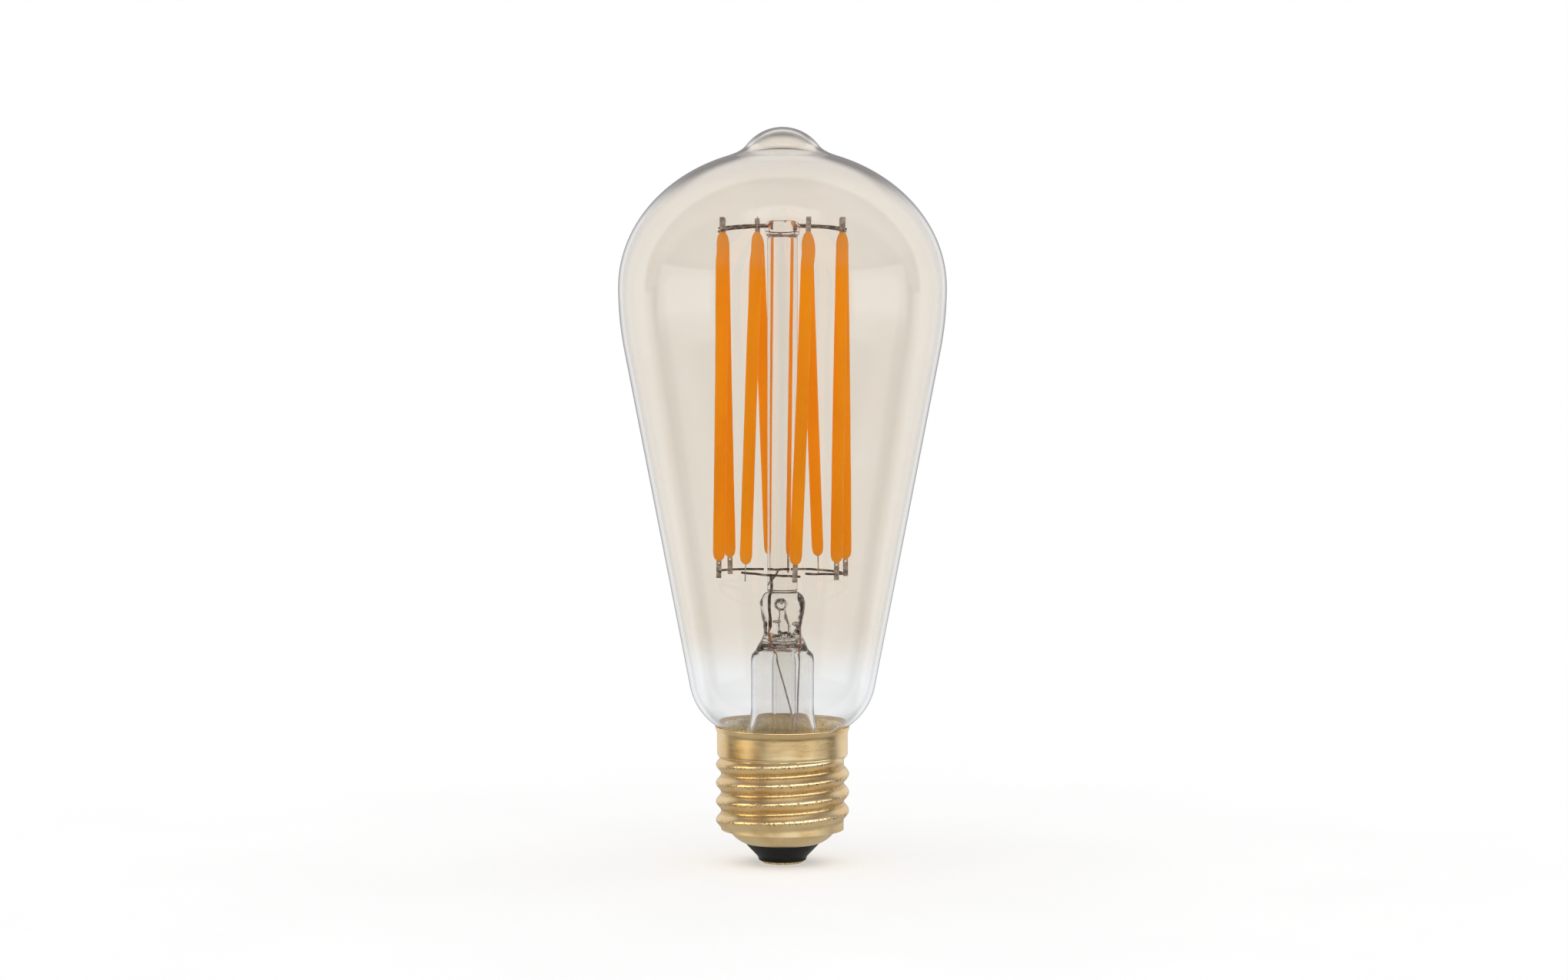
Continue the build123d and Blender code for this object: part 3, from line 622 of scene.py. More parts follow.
# ---- Glass envelope ----
def envelope_wall(inset):
    """One wall of the envelope from the tip to the end of the neck, moved inwards by inset."""
    lean = radians(CONE_ANGLE)
    tip_radius, belly_radius, shoulder_radius, neck_fillet = 8.8, 64.6, 12.0, 1.5
    tip = arc((0, TIP_Z - tip_radius), tip_radius - inset, tip_radius - inset, 90, 37, 26)
    dome = arc((0, EQUATOR_Z), BULB_RADIUS - inset, DOME_HEIGHT - inset, 68, 0, 60)
    leave = (tip[-1][0] - tip[-2][0], tip[-1][1] - tip[-2][1])
    arrive = (dome[1][0] - dome[0][0], dome[1][1] - dome[0][1])
    blend = flow(tip[-1], leave, dome[0], arrive, 26)
    belly_centre = (BULB_RADIUS - belly_radius, EQUATOR_Z)
    belly = arc(belly_centre, belly_radius - inset, belly_radius - inset, 0, -CONE_ANGLE, 14)

    shoulder_top = 34.8
    cone_end = BULB_RADIUS - belly_radius * (1 - cos(lean))
    cone_end -= (EQUATOR_Z - belly_radius * sin(lean) - shoulder_top) * tan(lean)
    shoulder_centre = (cone_end - shoulder_radius * cos(lean), shoulder_top + shoulder_radius * sin(lean))
    across = NECK_RADIUS + neck_fillet - shoulder_centre[0]
    fillet_z = shoulder_centre[1] - sqrt((shoulder_radius + neck_fillet) ** 2 - across**2)
    turn = atan2(shoulder_centre[1] - fillet_z, across) * 180 / pi
    radius = shoulder_radius - inset
    shoulder = arc(shoulder_centre, radius, radius, -CONE_ANGLE, -turn, 30)
    radius = neck_fillet + inset
    fillet = arc((NECK_RADIUS + neck_fillet, fillet_z), radius, radius, 180 - turn, 180, 12)
    cone = run(belly[-1], shoulder[0], 16)
    neck = run(fillet[-1], (NECK_RADIUS - inset, NECK_BOTTOM_Z), 4)
    wall = chain(tip, blend, dome, belly, cone, shoulder, fillet, neck)
    return [(0.0, wall[0][1])] + wall[1:]


def make_envelope():
    outline = envelope_wall(0.0) + list(reversed(envelope_wall(WALL)))
    add_piece("envelope", "amber_glass", "glass_envelope", lathe_rings(outline, 192))


# ---- Screw cap ----
def thread_height(angle, z):
    """How far the rolled thread stands out of its root at an angle from +X and a height."""
    turn = angle / (2 * pi)
    ridge = round((z - THREAD_START_Z) / THREAD_PITCH - turn)
    along = ridge + turn
    offset = (z - THREAD_START_Z) / THREAD_PITCH - along
    gate = smooth_step(0.0, 0.35, along) * smooth_step(THREAD_TURNS + 0.12, THREAD_TURNS - 0.05, along)
    return THREAD_DEPTH * gate * (0.5 + 0.5 * cos(2 * pi * offset)) ** 0.9


def cap_radius(angle, base, z):
    """The cap's outer radius with its thread, where base is its radius without one."""
    if not THREADED_Z[0] < z < THREADED_Z[1]:
        return base
    ridge = THREAD_ROOT + thread_height(angle, z)
    soft = 0.08
    return 0.5 * (base + ridge + sqrt((base - ridge) ** 2 + soft**2))


def cap_outline():
    """The outside of the cap without its thread, from the hole in its bottom up to the rim."""
    heel_top, heel_way = (HEEL_RADIUS, HEEL_Z), (0.49, 0.87)
    barrel_foot, barrel_top = [(THREAD_ROOT, z) for z in BARREL_Z]
    collar_foot, collar_top = [(COLLAR_RADIUS, z) for z in (COLLAR_BOTTOM_Z, COLLAR_TOP_Z)]
    return chain(
        flow((HOLE_RADIUS, HOLE_Z), (1, 0.35), heel_top, heel_way, 16),
        flow(heel_top, heel_way, barrel_foot, (0.0, 1.0), 14),
        run(barrel_foot, barrel_top, 84),
        flow(barrel_top, (0.1, 1.0), collar_foot, (0.05, 1.0), 14),
        run(collar_foot, collar_top, 12),
        flow(collar_top, (0, 1), (RIM_RADIUS, RIM_EDGE_Z), (0.45, 1), 8),
    )


def make_cap():
    """Thin sheet: the outside, a rounded rim, the same outline inside it and the edge of the hole."""
    outside = cap_outline()
    outer_points = set(outside)
    hole_top_z = HOLE_Z + SHEET
    dent_depth, dent_size = 0.035, 6.0
    rim = arc((RIM_RADIUS - SHEET / 2, RIM_EDGE_Z + 0.1), SHEET / 2, SHEET / 2, 0, 180, 8)
    inside = [(r - SHEET, z) for r, z in reversed(outside) if z > hole_top_z]
    lip = [(HOLE_RADIUS, hole_top_z), (HOLE_RADIUS, HOLE_Z)]
    outline = chain(outside, rim, inside, lip)[:-1]

    def shape(angle, radius, z):
        on_outside = (radius, z) in outer_points or z > THREADED_Z[1]
        outer = radius if on_outside else radius + SHEET
        grown = cap_radius(angle, outer, z) - outer
        dent = dent_depth * lumps(radius * cos(angle), radius * sin(angle), z, dent_size)
        return radius + grown + dent, z

    add_piece("screw_shell", "cap_brass", "cap_shell", lathe_rings(outline, 224, shape), wrap=True)


def make_insulator():
    """The black glass foot, with its bed inside the shell and the hole for the centre wire."""
    foot = chain(
        [(0.9, 0.56), (3.9, 0.56), (4.4, 0.52)],
        flow((4.4, 0.52), (1, 0.1), (4.72, 0.9), (0.1, 1), 8),
        flow((4.72, 0.9), (0.1, 1), (5.1, 1.6), (0.7, 0.75), 5),
        run((5.1, 1.6), (7.25, 3.85), 12),
        [(7.38, 4.02), (7.39, 4.32)],
    )
    heel = [(r - SHEET - 0.02, z) for r, z in cap_outline() if 4.45 < z < 7.2]
    top = [(heel[-1][0], 7.2), (6.0, 7.25), (2.0, 7.1), (0.9, 7.0)]
    rings = lathe_rings(chain(foot, heel, top), 128)
    add_piece("insulator", "black_glass", "cap_insulator", rings, wrap=True)


def make_contact():
    """The brass contact disc with softened edges, and the solder that fills its wire hole."""
    disc = chain(
        [(0.9, 0.12), (1.15, 0.02), (1.6, 0.0), (3.2, 0.0), (3.7, 0.05)],
        arc((3.7, 0.5), 0.5, 0.45, -90, 0, 8),
        [(4.2, 0.54), (0.9, 0.54)],
    )
    add_piece("contact_disc", "brass", "centre_contact", lathe_rings(disc, 96), wrap=True)

    def lumpy(angle, radius, z):
        return radius * (1 + 0.06 * sin(3 * angle + 1)), z + 0.03 * sin(2 * angle)

    solder_radius = 0.86
    drop = chain(
        flow((0.0, 0.07), (1, 0), (solder_radius, 0.3), (0.1, 1), 8),
        run((solder_radius, 0.3), (solder_radius, 1.1), 3),
        flow((solder_radius, 1.1), (0, 1), (0.0, 1.4), (-1, 0), 8),
    )
    add_piece("solder_drop", "solder", "contact_solder", lathe_rings(drop, 48, lumpy))


def make_cement():
    """The cement ring between the shell and the neck; its upper edge creeps unevenly up the glass."""
    ragged_from, ragged_to = 24.5, 26.0

    def shape(angle, radius, z):
        x, y = radius * cos(angle), radius * sin(angle)
        if z < ragged_from:
            return radius, z
        ragged = 0.45 * lumps(x, y, 0, 2.6) + 0.3 * lumps(x, y, z, 0.9)
        return radius, z + ragged * smooth_step(ragged_from, ragged_to, z)

    outline = chain(
        run((11.26, 21.4), (11.26, 24.2), 6),
        run((11.26, 24.2), (11.75, 26.3), 8),
        flow((11.75, 26.3), (1, 0.4), (12.47, 25.8), (0.3, -1), 6),
        run((12.47, 25.8), (12.47, 21.4), 8),
        run((12.47, 21.4), (11.26, 21.4), 4),
    )[:-1]
    add_piece("cement_ring", "cement", "cap_cement", lathe_rings(outline, 160, shape), wrap=True)


# ---- Glass stem ----
def make_stem():
    """Flare tube and pinch in one piece of glass, with the exhaust duct and two bubbles as air in it."""
    sections = [
        (30.5, FLARE_RADIUS, FLARE_RADIUS),
        (36.0, FLARE_RADIUS, FLARE_RADIUS),
        (40.6, 6.1, 6.1),
        (42.1, 5.15, 4.95),
        (44.8, 3.8, 3.3),
        (46.8, 3.7, 2.75),
        (49.0, 4.15, 2.75),
        (51.2, 4.35, 2.9),
        (52.6, 3.95, 2.85),
        (53.3, 3.3, 2.7),
    ]
    segments = 96
    turns = [2 * pi * i / segments for i in range(segments)]
    rings = []
    for z, half_x, half_y in through(sections, 7):
        wobble = 0.16 * smooth_step(40.0, 43.0, z)
        ring = []
        for a in turns:
            x, y = half_x * cos(a), half_y * sin(a)
            swell = 1 + wobble * (lumps(x, y, z, 1.9) + 0.6 * lumps(x, y, z, 0.9, 2.0)) / max(half_x, 1)
            ring.append((x * swell, y * swell, z))
        rings.append(ring)
    rim_points = [(x, y) for x, y, z in rings[-1]]
    for share in (0.85, 0.5, 0.2):
        rings.append([(x * share, y * share, PINCH_TOP_Z - 0.15 * share) for x, y in rim_points])
    rings.append([(0, 0, PINCH_TOP_Z)])

    bell_radius, foot_z, inner_top = 9.8, 21.2, 40.6
    bell = flow((FLARE_RADIUS, 30.5), (0, -1), (10.3, NECK_BOTTOM_Z), (1, -0.9), 16)
    rim = [(NECK_RADIUS - 0.02, 21.98), (NECK_RADIUS - 0.02, foot_z), (bell_radius, foot_z)]
    inner = FLARE_RADIUS - FLARE_WALL
    inner_wall = chain(
        flow((bell_radius, foot_z), (-1, 0.9), (inner, 30.0), (0, 1), 16),
        run((inner, 30.0), (inner, inner_top), 8),
        arc((0, inner_top), inner, 3.0, 0, 90, 14),
    )
    inner_wall = inner_wall[:-1] + [(0.0, 43.6)]
    below = chain(bell, rim, inner_wall)[1:]
    lower = lathe_rings(below, segments)
    bm = bmesh.new()
    loft(bm, list(reversed(rings)) + lower)

    duct = [(0.3, 0.0, 44.3), (0.25, 0.0, 46.0), (0.1, -0.1, 48.0), (-0.1, -0.4, 50.2), (-0.3, -1.1, 51.1)]

    def bore(t):
        return 0.75 + 0.35 * sin(pi * min(t * 1.6, 1.0)) + 0.45 * smooth_step(0.7, 1.0, t)

    loft(bm, tube_rings(through(duct, 8), bore, 24), flip=True)
    bubbles = [((2.3, -0.6, 47.2), (0.75, 0.5, 0.45)), ((-1.0, -1.1, 47.7), (0.8, 0.45, 0.3))]
    for centre, size in bubbles:
        bubble = bmesh.new()
        bead(bubble, centre, size, 20)
        bubble.normal_update()
        bmesh.ops.reverse_faces(bubble, faces=bubble.faces[:])
        spare = bpy.data.meshes.new("bubble")
        bubble.to_mesh(spare)
        bubble.free()
        bm.from_mesh(spare)
        bpy.data.meshes.remove(spare)
    finish_mesh(bm, "stem_glass", "clear_glass", "stem_flare")


def make_exhaust_tube():
    """The thin tube that runs down inside the flare to its sealed tip in the cap."""
    outside = chain(run((2.4, 43.5), (2.4, 20.0), 24), flow((2.4, 20.0), (0, -1), (0.0, 16.8), (-1, 0), 12))
    bore = chain(flow((0.0, 20.4), (1, 0), (1.6, 22.4), (0, 1), 8), run((1.6, 22.4), (1.6, 43.5), 20))
    rings = lathe_rings(bore + outside, 64, centre=(EXHAUST_X, 0.0))
    add_piece("exhaust_glass", "clear_glass", "exhaust_tube", rings)


def make_rod():
    """The solid glass rod, drawn by hand, so its sides waver a little."""
    def shape(angle, radius, z):
        return radius * (1 + 0.012 * lumps(0, 0, z, 9.0) + 0.006 * lumps(cos(angle), sin(angle), z, 3.0)), z

    foot, head = PINCH_TOP_Z + 0.03, ROD_TOP_Z - 0.03
    outline = chain(
        [(0, foot), (1.5, foot), (2.6, foot)],
        arc((2.65, foot + 0.3), 0.3, 0.3, -90, 0, 5),
        run((2.95, foot + 0.4), (2.95, head - 0.3), 150),
        arc((2.65, head - 0.3), 0.3, 0.3, 0, 90, 5),
        [(1.5, head), (0, head)],
    )
    add_piece("rod_glass", "clear_glass", "support_rod", lathe_rings(outline, 64, shape))


def make_button():
    """The squashed glass button that grips the support wires."""
    def shape(angle, radius, z):
        x, y = radius * cos(angle), radius * sin(angle)
        return radius * (1 + 0.035 * lumps(x, y, z, 1.8)), z + 0.12 * lumps(x, y, 0, 1.6)

    outline = chain(
        [(0, ROD_TOP_Z + 0.02), (1.6, ROD_TOP_Z + 0.02), (2.7, ROD_TOP_Z + 0.05)],
        flow((2.9, ROD_TOP_Z + 0.1), (1, 0.6), (3.5, 124.3), (0, 1), 14),
        flow((3.5, 124.3), (0, 1), (2.9, 125.6), (-1, 0.8), 10),
        flow((2.9, 125.6), (-1, 0.8), (0, BUTTON_TOP_Z - 0.15), (-1, 0.0), 14),
    )
    add_piece("button_glass", "clear_glass", "rod_button", lathe_rings(outline, 72, shape))


# ---- Filament cage ----
def filament_ends(number):
    azimuth = FILAMENT_AZIMUTHS[number - 1]
    radius = RING_RADIUS + (LAP if number in LAPPED_FILAMENTS else 0)
    return polar(azimuth - TWIST, RING_BOTTOM_Z, radius), polar(azimuth, RING_TOP_Z, radius)


def filament_axes(number):
    """Directions along the filament, across its flat strip and through it."""
    low, high = filament_ends(number)
    along = (high - low).normalized()
    across = Vector((1, 0, 0))
    if number in EDGE_ON_FILAMENTS:
        across = Vector((0, 1, 0))
    if number in LAPPED_FILAMENTS:
        middle = radians(FILAMENT_AZIMUTHS[number - 1] - TWIST / 2)
        across = Vector((cos(middle), sin(middle), 0))
    across = (across - along * across.dot(along)).normalized()
    return along, across, along.cross(across)


def make_coat(number):
    """The silicone coat: a moulded bar that necks in at both ends and is never quite even."""
    low, high = filament_ends(number)
    along, across, through_way = filament_axes(number)
    length = (high - low).length
    start, end = COAT_START, length - COAT_END_GAP
    steps, seam_height, bend = 140, 0.08, 0.22
    swollen_neck = number <= 3
    rings = []
    for i in range(steps + 1):
        t = i / steps
        place = start + (end - start) * t
        from_end = min(place - start, end - place)
        at_top = end - place < place - start
        reach, power = (COAT_TOP_REACH, 0.75) if at_top else (COAT_ROUND, 0.5)
        slope = 1 - min(from_end / reach, 1.0)
        radius = COAT_MOUTH + (COAT_RADIUS - COAT_MOUTH) * (1 - slope * slope) ** power
        radius *= 1 + 0.028 * lumps(number * 7, 0, place, 7.0) + 0.012 * lumps(number * 3, 1, place, 2.2)
        radius *= 1 + 0.07 * exp(-(((end - place) - 5.0) / 2.4) ** 2) * swollen_neck
        bow = bend * sin(pi * t) * (1 if number % 2 else -1)
        kink = bend * exp(-(((end - place) - 3.5) / 2.2) ** 2) * swollen_neck
        centre = low + along * place + Vector((bow * 0.4 + kink, bow, 0))
        ring = []
        for k in range(COAT_SIDES):
            a = 2 * pi * k / COAT_SIDES
            seam = seam_height * (k in COAT_SEAMS) * min(from_end / COAT_ROUND, 1.0)
            ring.append(centre + (across * cos(a) + through_way * sin(a) * 0.97) * (radius + seam))
        rings.append(ring)
    add_piece(f"coat_{number}", "phosphor", f"filament_{number}_coat", rings, sharp=60)


def make_strip(number):
    """The carrier strip: a stamped blade with softened edges and a hole below the coat."""
    low, high = filament_ends(number)
    along, across, through_way = filament_axes(number)
    length = (high - low).length
    bottom, top, half_width, half_thick = -0.7, length + 1.8, 0.5, 0.1
    hole_at, hole_radius = COAT_START - 0.45, 0.17

    def point(u, v, w):
        return (low + across * u + along * v + through_way * w) * MM

    # Four outlines stacked through the thickness, the outer two drawn in to soften the edges.
    corner, softened, corner_points = 0.12, 0.035, 4
    inner_depth = half_thick - softened
    layers = []
    for w in (-half_thick, -inner_depth, inner_depth, half_thick):
        size = corner if abs(w) < half_thick else corner - softened
        rim = []
        for sx, sy, start in ((1, -1, -90), (1, 1, 0), (-1, 1, 90), (-1, -1, 180)):
            cx, cy = sx * (half_width - corner), (bottom + corner) if sy < 0 else (top - corner)
            for k in range(corner_points):
                a = radians(start + 30 * k)
                rim.append((cx + size * cos(a), cy + size * sin(a), w))
        layers.append(rim)
    bm = bmesh.new()
    walls = [[bm.verts.new(point(*p)) for p in rim] for rim in layers]
    for inner, outer in zip(walls, walls[1:]):
        for k in range(len(inner)):
            j = (k + 1) % len(inner)
            bm.faces.new((inner[k], inner[j], outer[j], outer[k]))
    sides = 24
    turns = [2 * pi * k / sides for k in range(sides)]
    holes = []
    for w in (-half_thick, half_thick):
        ring = [point(hole_radius * cos(a), hole_at + hole_radius * sin(a), w) for a in turns]
        holes.append([bm.verts.new(p) for p in ring])
    for k in range(sides):
        j = (k + 1) % sides
        bm.faces.new((holes[0][k], holes[0][j], holes[1][j], holes[1][k]))
    for rim, ring in ((walls[0], holes[0]), (walls[-1], holes[1])):
        edges = []
        for loop in (rim, ring):
            for k in range(len(loop)):
                edges.append(bm.edges.get((loop[k], loop[(k + 1) % len(loop)])))
        bmesh.ops.triangle_fill(bm, edges=edges, use_beauty=True)
    bmesh.ops.recalc_face_normals(bm, faces=bm.faces[:])
    node = f"filament_{number}_strip"
    finish_mesh(bm, f"strip_{number}", "strip_steel", node, sharp=35)


# ---- Wires ----
def ring_path(start, end, z_start, z_end, arch=0.0):
    """The line of a ring wire from one azimuth to another, hand-bent, so not quite a true arc."""
    count = max(8, int((end - start) / 2.5))
    path = []
    for i in range(count + 1):
        t = i / count
        azimuth = start + (end - start) * t
        z = z_start + (z_end - z_start) * t + arch * sin(pi * t) + 0.07 * lumps(azimuth * 0.2, start, 0, 2.0)
        path.append(polar(azimuth, z, RING_RADIUS + 0.05 * lumps(azimuth * 0.2, start, 5, 2.0)))
    return path


def path_at(path, azimuth):
    """The point of a ring wire nearest to an azimuth."""
    target = polar(azimuth, 0)
    return min(path, key=lambda p: (Vector((p.x, p.y, 0)) - target).length)


# Ring wires: azimuths of both ends, heights of both ends and, at the top, how far the middle arches.
TOP_RINGS = {
    "left": (-79, -13, 123.7, 124.6, 0.1),
    "right": (17, 75, 124.7, 123.7, 0.1),
    "back": (101, 259, 124.3, 124.4, 0.85),
}
BOTTOM_RINGS = {
    "front": (-38, 15, 58.0, 57.4),
    "left": (198, 287, 56.9, 57.6),
    "right": (21, 107, 57.9, 56.9),
    "back": (113, 193, 56.8, 57.0),
}
# Supports start on a top ring at an azimuth and run through these points into the button.
SUPPORTS = {
    "left": (-34, [(-5.0, -4.6, 124.75), (-1.9, -0.7, 124.9), (-1.2, 0.9, 124.4)]),
    "right": (34, [(5.0, -4.6, 124.5), (2.0, -0.6, 124.7), (1.3, 1.0, 124.3)]),
    "back": (178, [(0.3, 6.0, 125.1), (0.1, 0.5, 124.9), (0.5, -1.3, 125.2)]),
}
# Feeds leave a bottom ring at an azimuth and run down into the pinch.
FEEDS = {
    "left": ("front", -9, [(-2.1, -7.0, 55.2), (-2.25, -2.1, 53.4), (-2.3, -0.9, 51.6), (-2.05, -0.4, 46.6)]),
    "right": ("back", 172, [(2.2, 7.0, 55.3), (2.35, 2.2, 53.6), (3.1, 0.7, 51.6), (3.0, 0.2, 46.6)]),
}
SEALS = {
    "left": [(-2.05, -0.4, 46.5), (-2.25, -0.8, 45.0), (-1.5, -2.7, 41.6)],
    "right": [(3.0, 0.2, 46.5), (3.0, -0.2, 45.0), (3.25, -2.2, 41.6)],
}
OUTER_LEADS = {
    "left": [(-1.5, -2.7, 41.6), (0.7, -3.4, 33.8), (1.9, -3.7, 27.0), (0.2, -4.2, 18.0), (0.2, -4.2, 10.7)],
    "right": [(3.25, -2.2, 41.6), (2.9, -3.0, 33.8), (2.7, -3.0, 27.0), (2.0, -3.0, 18.0), (2.0, -3.0, 10.7)],
}
# The wire to the shell, as (radius, z) points in the plane of one azimuth.
SIDE_WIRE_AZIMUTH = 46.0
SIDE_WIRE = [(10.1, 10.7), (10.1, 15.0), (10.1, 18.6), (11.87, 21.2)]
SIDE_WIRE += [(11.87, 25.2), (13.0, 26.8), (13.98, 27.5), (14.78, 28.1)]


def make_ring_wire(name, route, twist=0.0):
    """A ring wire with the small weld beads where the filament tabs meet it."""
    path = ring_path(*route)
    bm = bmesh.new()
    loft(bm, tube_rings(path, 0.225, 14))
    start, end = route[:2]
    for azimuth in FILAMENT_AZIMUTHS:
        spot = azimuth - twist
        if any(start <= spot + turn <= end for turn in (-360, 0, 360)):
            bead(bm, path_at(path, spot), (0.34, 0.34, 0.25))
    finish_mesh(bm, f"{name}_run", "nickel_wire", name)
    return path


def make_wires():
    for side, route in TOP_RINGS.items():
        path = make_ring_wire(f"top_wire_{side}", route)
        azimuth, inner = SUPPORTS[side]
        rings = tube_rings(through([path_at(path, azimuth), *inner], 8), 0.2, 12)
        add_piece(f"support_{side}", "copper_clad", f"support_wire_{side}", rings)
    ring_paths = {}
    for side, route in BOTTOM_RINGS.items():
        ring_paths[side] = make_ring_wire(f"bottom_wire_{side}", route, TWIST)
    for side, (ring, azimuth, inner) in FEEDS.items():
        rings = tube_rings(through([path_at(ring_paths[ring], azimuth), *inner], 8), 0.3, 14)
        add_piece(f"feed_{side}", "nickel_wire", f"inner_lead_{side}", rings)
    for side, route in SEALS.items():
        rings = tube_rings(through(route, 8), 0.22, 12)
        add_piece(f"seal_{side}", "copper_clad", f"seal_wire_{side}", rings)
    for side, route in OUTER_LEADS.items():
        bm = bmesh.new()
        loft(bm, tube_rings(through(route, 10), 0.16, 12))
        bead(bm, route[0], (0.34, 0.34, 0.3))
        finish_mesh(bm, f"lead_{side}", "tinned_wire", f"outer_lead_{side}")
    side_path = [polar(SIDE_WIRE_AZIMUTH, z, radius) for radius, z in SIDE_WIRE]
    add_piece("side_lead", "tinned_wire", "side_wire", tube_rings(through(side_path, 6), 0.2, 12))


def dress_cad_nodes():
    """Every CAD node that still shows takes the finish of its own material slot."""
    slots = {part["node"]: part["material_slot"] for part in frame["record"]["subparts"]}
    for name, node in frame["nodes"].items():
        if node.hide_render:
            continue
        node.data.materials.clear()
        node.data.materials.append(LOOKS[slots[name]])


# ---- Studio ----
def unscattered(nodes, depth):
    """1 for light that was mirrored, or that passed through glass, and that no dull surface scattered."""
    rays = nodes.add("ShaderNodeLightPath")
    bounced = nodes.math("MINIMUM", rays.outputs[depth], 1.0)
    diffuse = nodes.math("MINIMUM", rays.outputs["Diffuse Depth"], 1.0)
    return nodes.times(bounced, nodes.math("SUBTRACT", 1.0, diffuse))


def from_front(nodes, x, y):
    """The angle of a direction or place from the front, the same on both sides."""
    return nodes.math("ARCTAN2", nodes.math("ABSOLUTE", x), nodes.times(y, -1.0))


def side_panel(nodes, azimuth):
    """1 where a side panel stands, by the angle from the front."""
    return nodes.times(nodes.ramp(azimuth, *PANEL_START), nodes.ramp(azimuth, *PANEL_END))


def make_floor():
    """A lit white table that fades to pure white.

    In mirrored light it is a grey card under the bulb, dark in front, pale at the sides and white
    behind, with a darker middle there.
    """
    look = Look("table_look", specular_ior_level=0.0)
    grain = look.noise(60.0, 3.0)
    look.colour(look.blend(look.ramp(grain), (0.66, 0.66, 0.66), (0.68, 0.68, 0.68)))
    look.roughness(grain, 0.6, 0.7)
    look.shader.inputs["Emission Color"].default_value = (1, 1, 1, 1)
    look.shader.inputs["Emission Strength"].default_value = TABLE_GLOW
    reach = look.reach(look.x, look.y)
    azimuth = from_front(look, look.x, look.y)
    panel = look.times(side_panel(look, azimuth), look.ramp(reach, *FLOOR_PANEL_REACH))
    card = look.blend(panel, ROOM_LOW, PANEL)
    card = look.blend(look.ramp(azimuth, *FLOOR_COVE_START), card, COVE)
    card = look.blend(look.ramp(azimuth, *FLOOR_COVE_MIDDLE), card, COVE_MIDDLE)
    card = look.blend(look.ramp(reach, *FLOOR_CARD_REACH), card, CARD)
    card = look.add("ShaderNodeEmission", {"Color": card}).outputs[0]
    white = look.add("ShaderNodeEmission", {"Color": (*WHITE, 1.0)}).outputs[0]
    far = look.ramp(reach, *FLOOR_WHITE_REACH)
    direct = look.add("ShaderNodeMixShader", {0: far, 1: look.shader.outputs[0], 2: white}).outputs[0]
    mirrored = unscattered(look, "Glossy Depth")
    mix = look.add("ShaderNodeMixShader", {0: mirrored, 1: direct, 2: card})
    look.feed(look.tree.nodes["Material Output"].inputs["Surface"], mix.outputs[0])
    mesh = bpy.data.meshes.new("table")
    corners = [(x * TABLE_HALF, y * TABLE_HALF, 0) for x, y in ((-1, -1), (1, -1), (1, 1), (-1, 1))]
    mesh.from_pydata(corners, [], [(0, 1, 2, 3)])
    mesh.materials.append(look.material)
    table = bpy.data.objects.new("table", mesh)
    scene.collection.objects.link(table)


def make_world():
    """The studio round the bulb.

    The camera and dull surfaces see plain white. Mirrored light sees a white cove behind the bulb,
    with a darker middle and a grey gap over it, two side panels, a strip overhead and a dim room in
    front. What passed through the glass and points upwards sees a dark ceiling.
    """
    world = bpy.data.worlds.new("studio")
    world.use_nodes = True
    nodes = Nodes(world.node_tree)
    way = nodes.add("ShaderNodeTexCoord").outputs["Generated"]
    axes = nodes.add("ShaderNodeSeparateXYZ", {"Vector": way})
    x, y, z = (axes.outputs[i] for i in range(3))
    across = nodes.math("ABSOLUTE", x)
    azimuth = from_front(nodes, x, y)

    mirrored = nodes.blend(nodes.ramp(z, *ROOM_RISE), ROOM_LOW, ROOM_HIGH)
    panel = nodes.times(side_panel(nodes, azimuth), nodes.ramp(z, *PANEL_TOP))
    mirrored = nodes.blend(panel, mirrored, PANEL)
    mirrored = nodes.blend(nodes.ramp(y, *COVE_FRONT), mirrored, COVE)
    mirrored = nodes.blend(nodes.ramp(y, *COVE_CENTRE), mirrored, COVE_MIDDLE)

    past_gap = nodes.math("SUBTRACT", across, nodes.times(z, GAP_WIDENING))
    gap = nodes.times(nodes.ramp(z, *GAP_BOTTOM), nodes.ramp(z, *GAP_TOP))
    narrow = nodes.times(nodes.ramp(past_gap, *GAP_SIDES), nodes.ramp(y, *GAP_FRONT))
    mirrored = nodes.blend(nodes.times(gap, narrow), mirrored, GAP)

    strip_way = nodes.math("ABSOLUTE", nodes.math("SUBTRACT", y, STRIP_Y))
    strip = nodes.times(nodes.ramp(across, *STRIP_ENDS), nodes.ramp(strip_way, *STRIP_EDGES))
    strip = nodes.times(strip, nodes.ramp(z, *STRIP_LOWEST))
    mirrored = nodes.blend(strip, mirrored, STRIP)

    overhead = nodes.times(nodes.ramp(z, *CEILING_EDGE), unscattered(nodes, "Transmission Depth"))
    direct = nodes.blend(overhead, WHITE, CEILING)
    colour = nodes.blend(unscattered(nodes, "Glossy Depth"), direct, mirrored)
    nodes.feed(world.node_tree.nodes["Background"].inputs["Color"], colour)
    scene.world = world


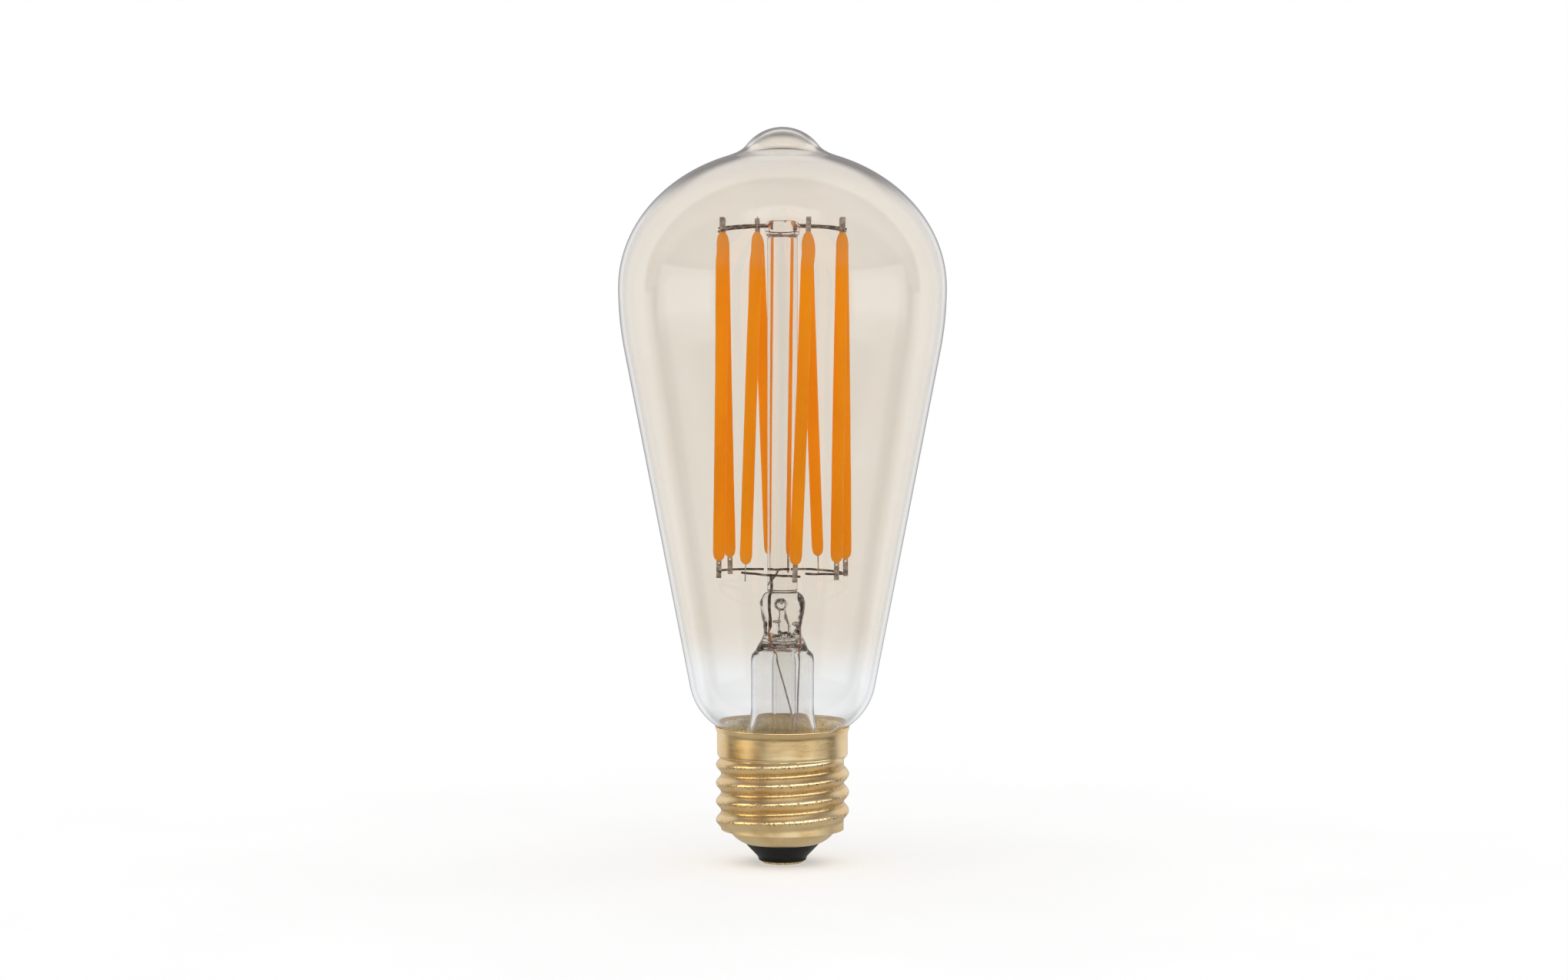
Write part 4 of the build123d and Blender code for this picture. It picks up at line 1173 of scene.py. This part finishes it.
def light_group(name, pieces):
    """A named set of pieces for light linking."""
    group = bpy.data.collections.new(name)
    for piece in pieces:
        group.objects.link(piece)
    return group


def pieces_in(slots):
    looks = [LOOKS[slot] for slot in slots]
    return [piece for piece in scene.objects if piece.type == "MESH" and piece.active_material in looks]


def make_lamps():
    """Soft lamps that pass through the glass, so that it stays clear, and light chosen pieces only."""
    metal = light_group("lit_by_metal_lights", pieces_in(METAL_LIGHT_SLOTS))
    cement = light_group("lit_by_cement_light", pieces_in(CEMENT_LIGHT_SLOTS))
    solid = light_group("shades_metal_lights", [bpy.data.objects[name] for name in LIGHT_BLOCKERS])
    for name, place, size, power, colour in LAMPS:
        data = bpy.data.lights.new(name, "AREA")
        data.color = colour
        data.shape = "RECTANGLE"
        data.size, data.size_y = size
        data.energy = power
        lamp = bpy.data.objects.new(name, data)
        lamp.location = place
        lamp.rotation_euler = (LIGHT_AIM - lamp.location).to_track_quat("-Z", "Y").to_euler()
        lamp.visible_camera = False
        scene.collection.objects.link(lamp)
        lamp.light_linking.receiver_collection = cement if name == "cement_light" else metal
        lamp.light_linking.blocker_collection = solid


def make_camera():
    data = bpy.data.cameras.new("camera")
    data.lens = CAMERA_LENS
    data.sensor_width = 36.0
    data.clip_start, data.clip_end = 0.05, 20.0
    camera = bpy.data.objects.new("camera", data)
    scene.collection.objects.link(camera)
    lift = radians(CAMERA_ELEVATION)
    camera.location = AIM + Vector((0.0, -cos(lift), sin(lift))) * CAMERA_DISTANCE
    camera.rotation_euler = (AIM - camera.location).to_track_quat("-Z", "Y").to_euler()
    scene.camera = camera


make_envelope()
make_cap()
make_insulator()
make_contact()
make_cement()
make_stem()
make_exhaust_tube()
make_rod()
make_button()
for index in range(1, len(FILAMENT_AZIMUTHS) + 1):
    make_coat(index)
    make_strip(index)
make_wires()
dress_cad_nodes()

make_floor()
make_world()
make_lamps()
make_camera()
scene.view_settings.view_transform = "Standard"
scene.cycles.max_bounces = 32
scene.cycles.transmission_bounces = 32
scene.cycles.glossy_bounces = 8
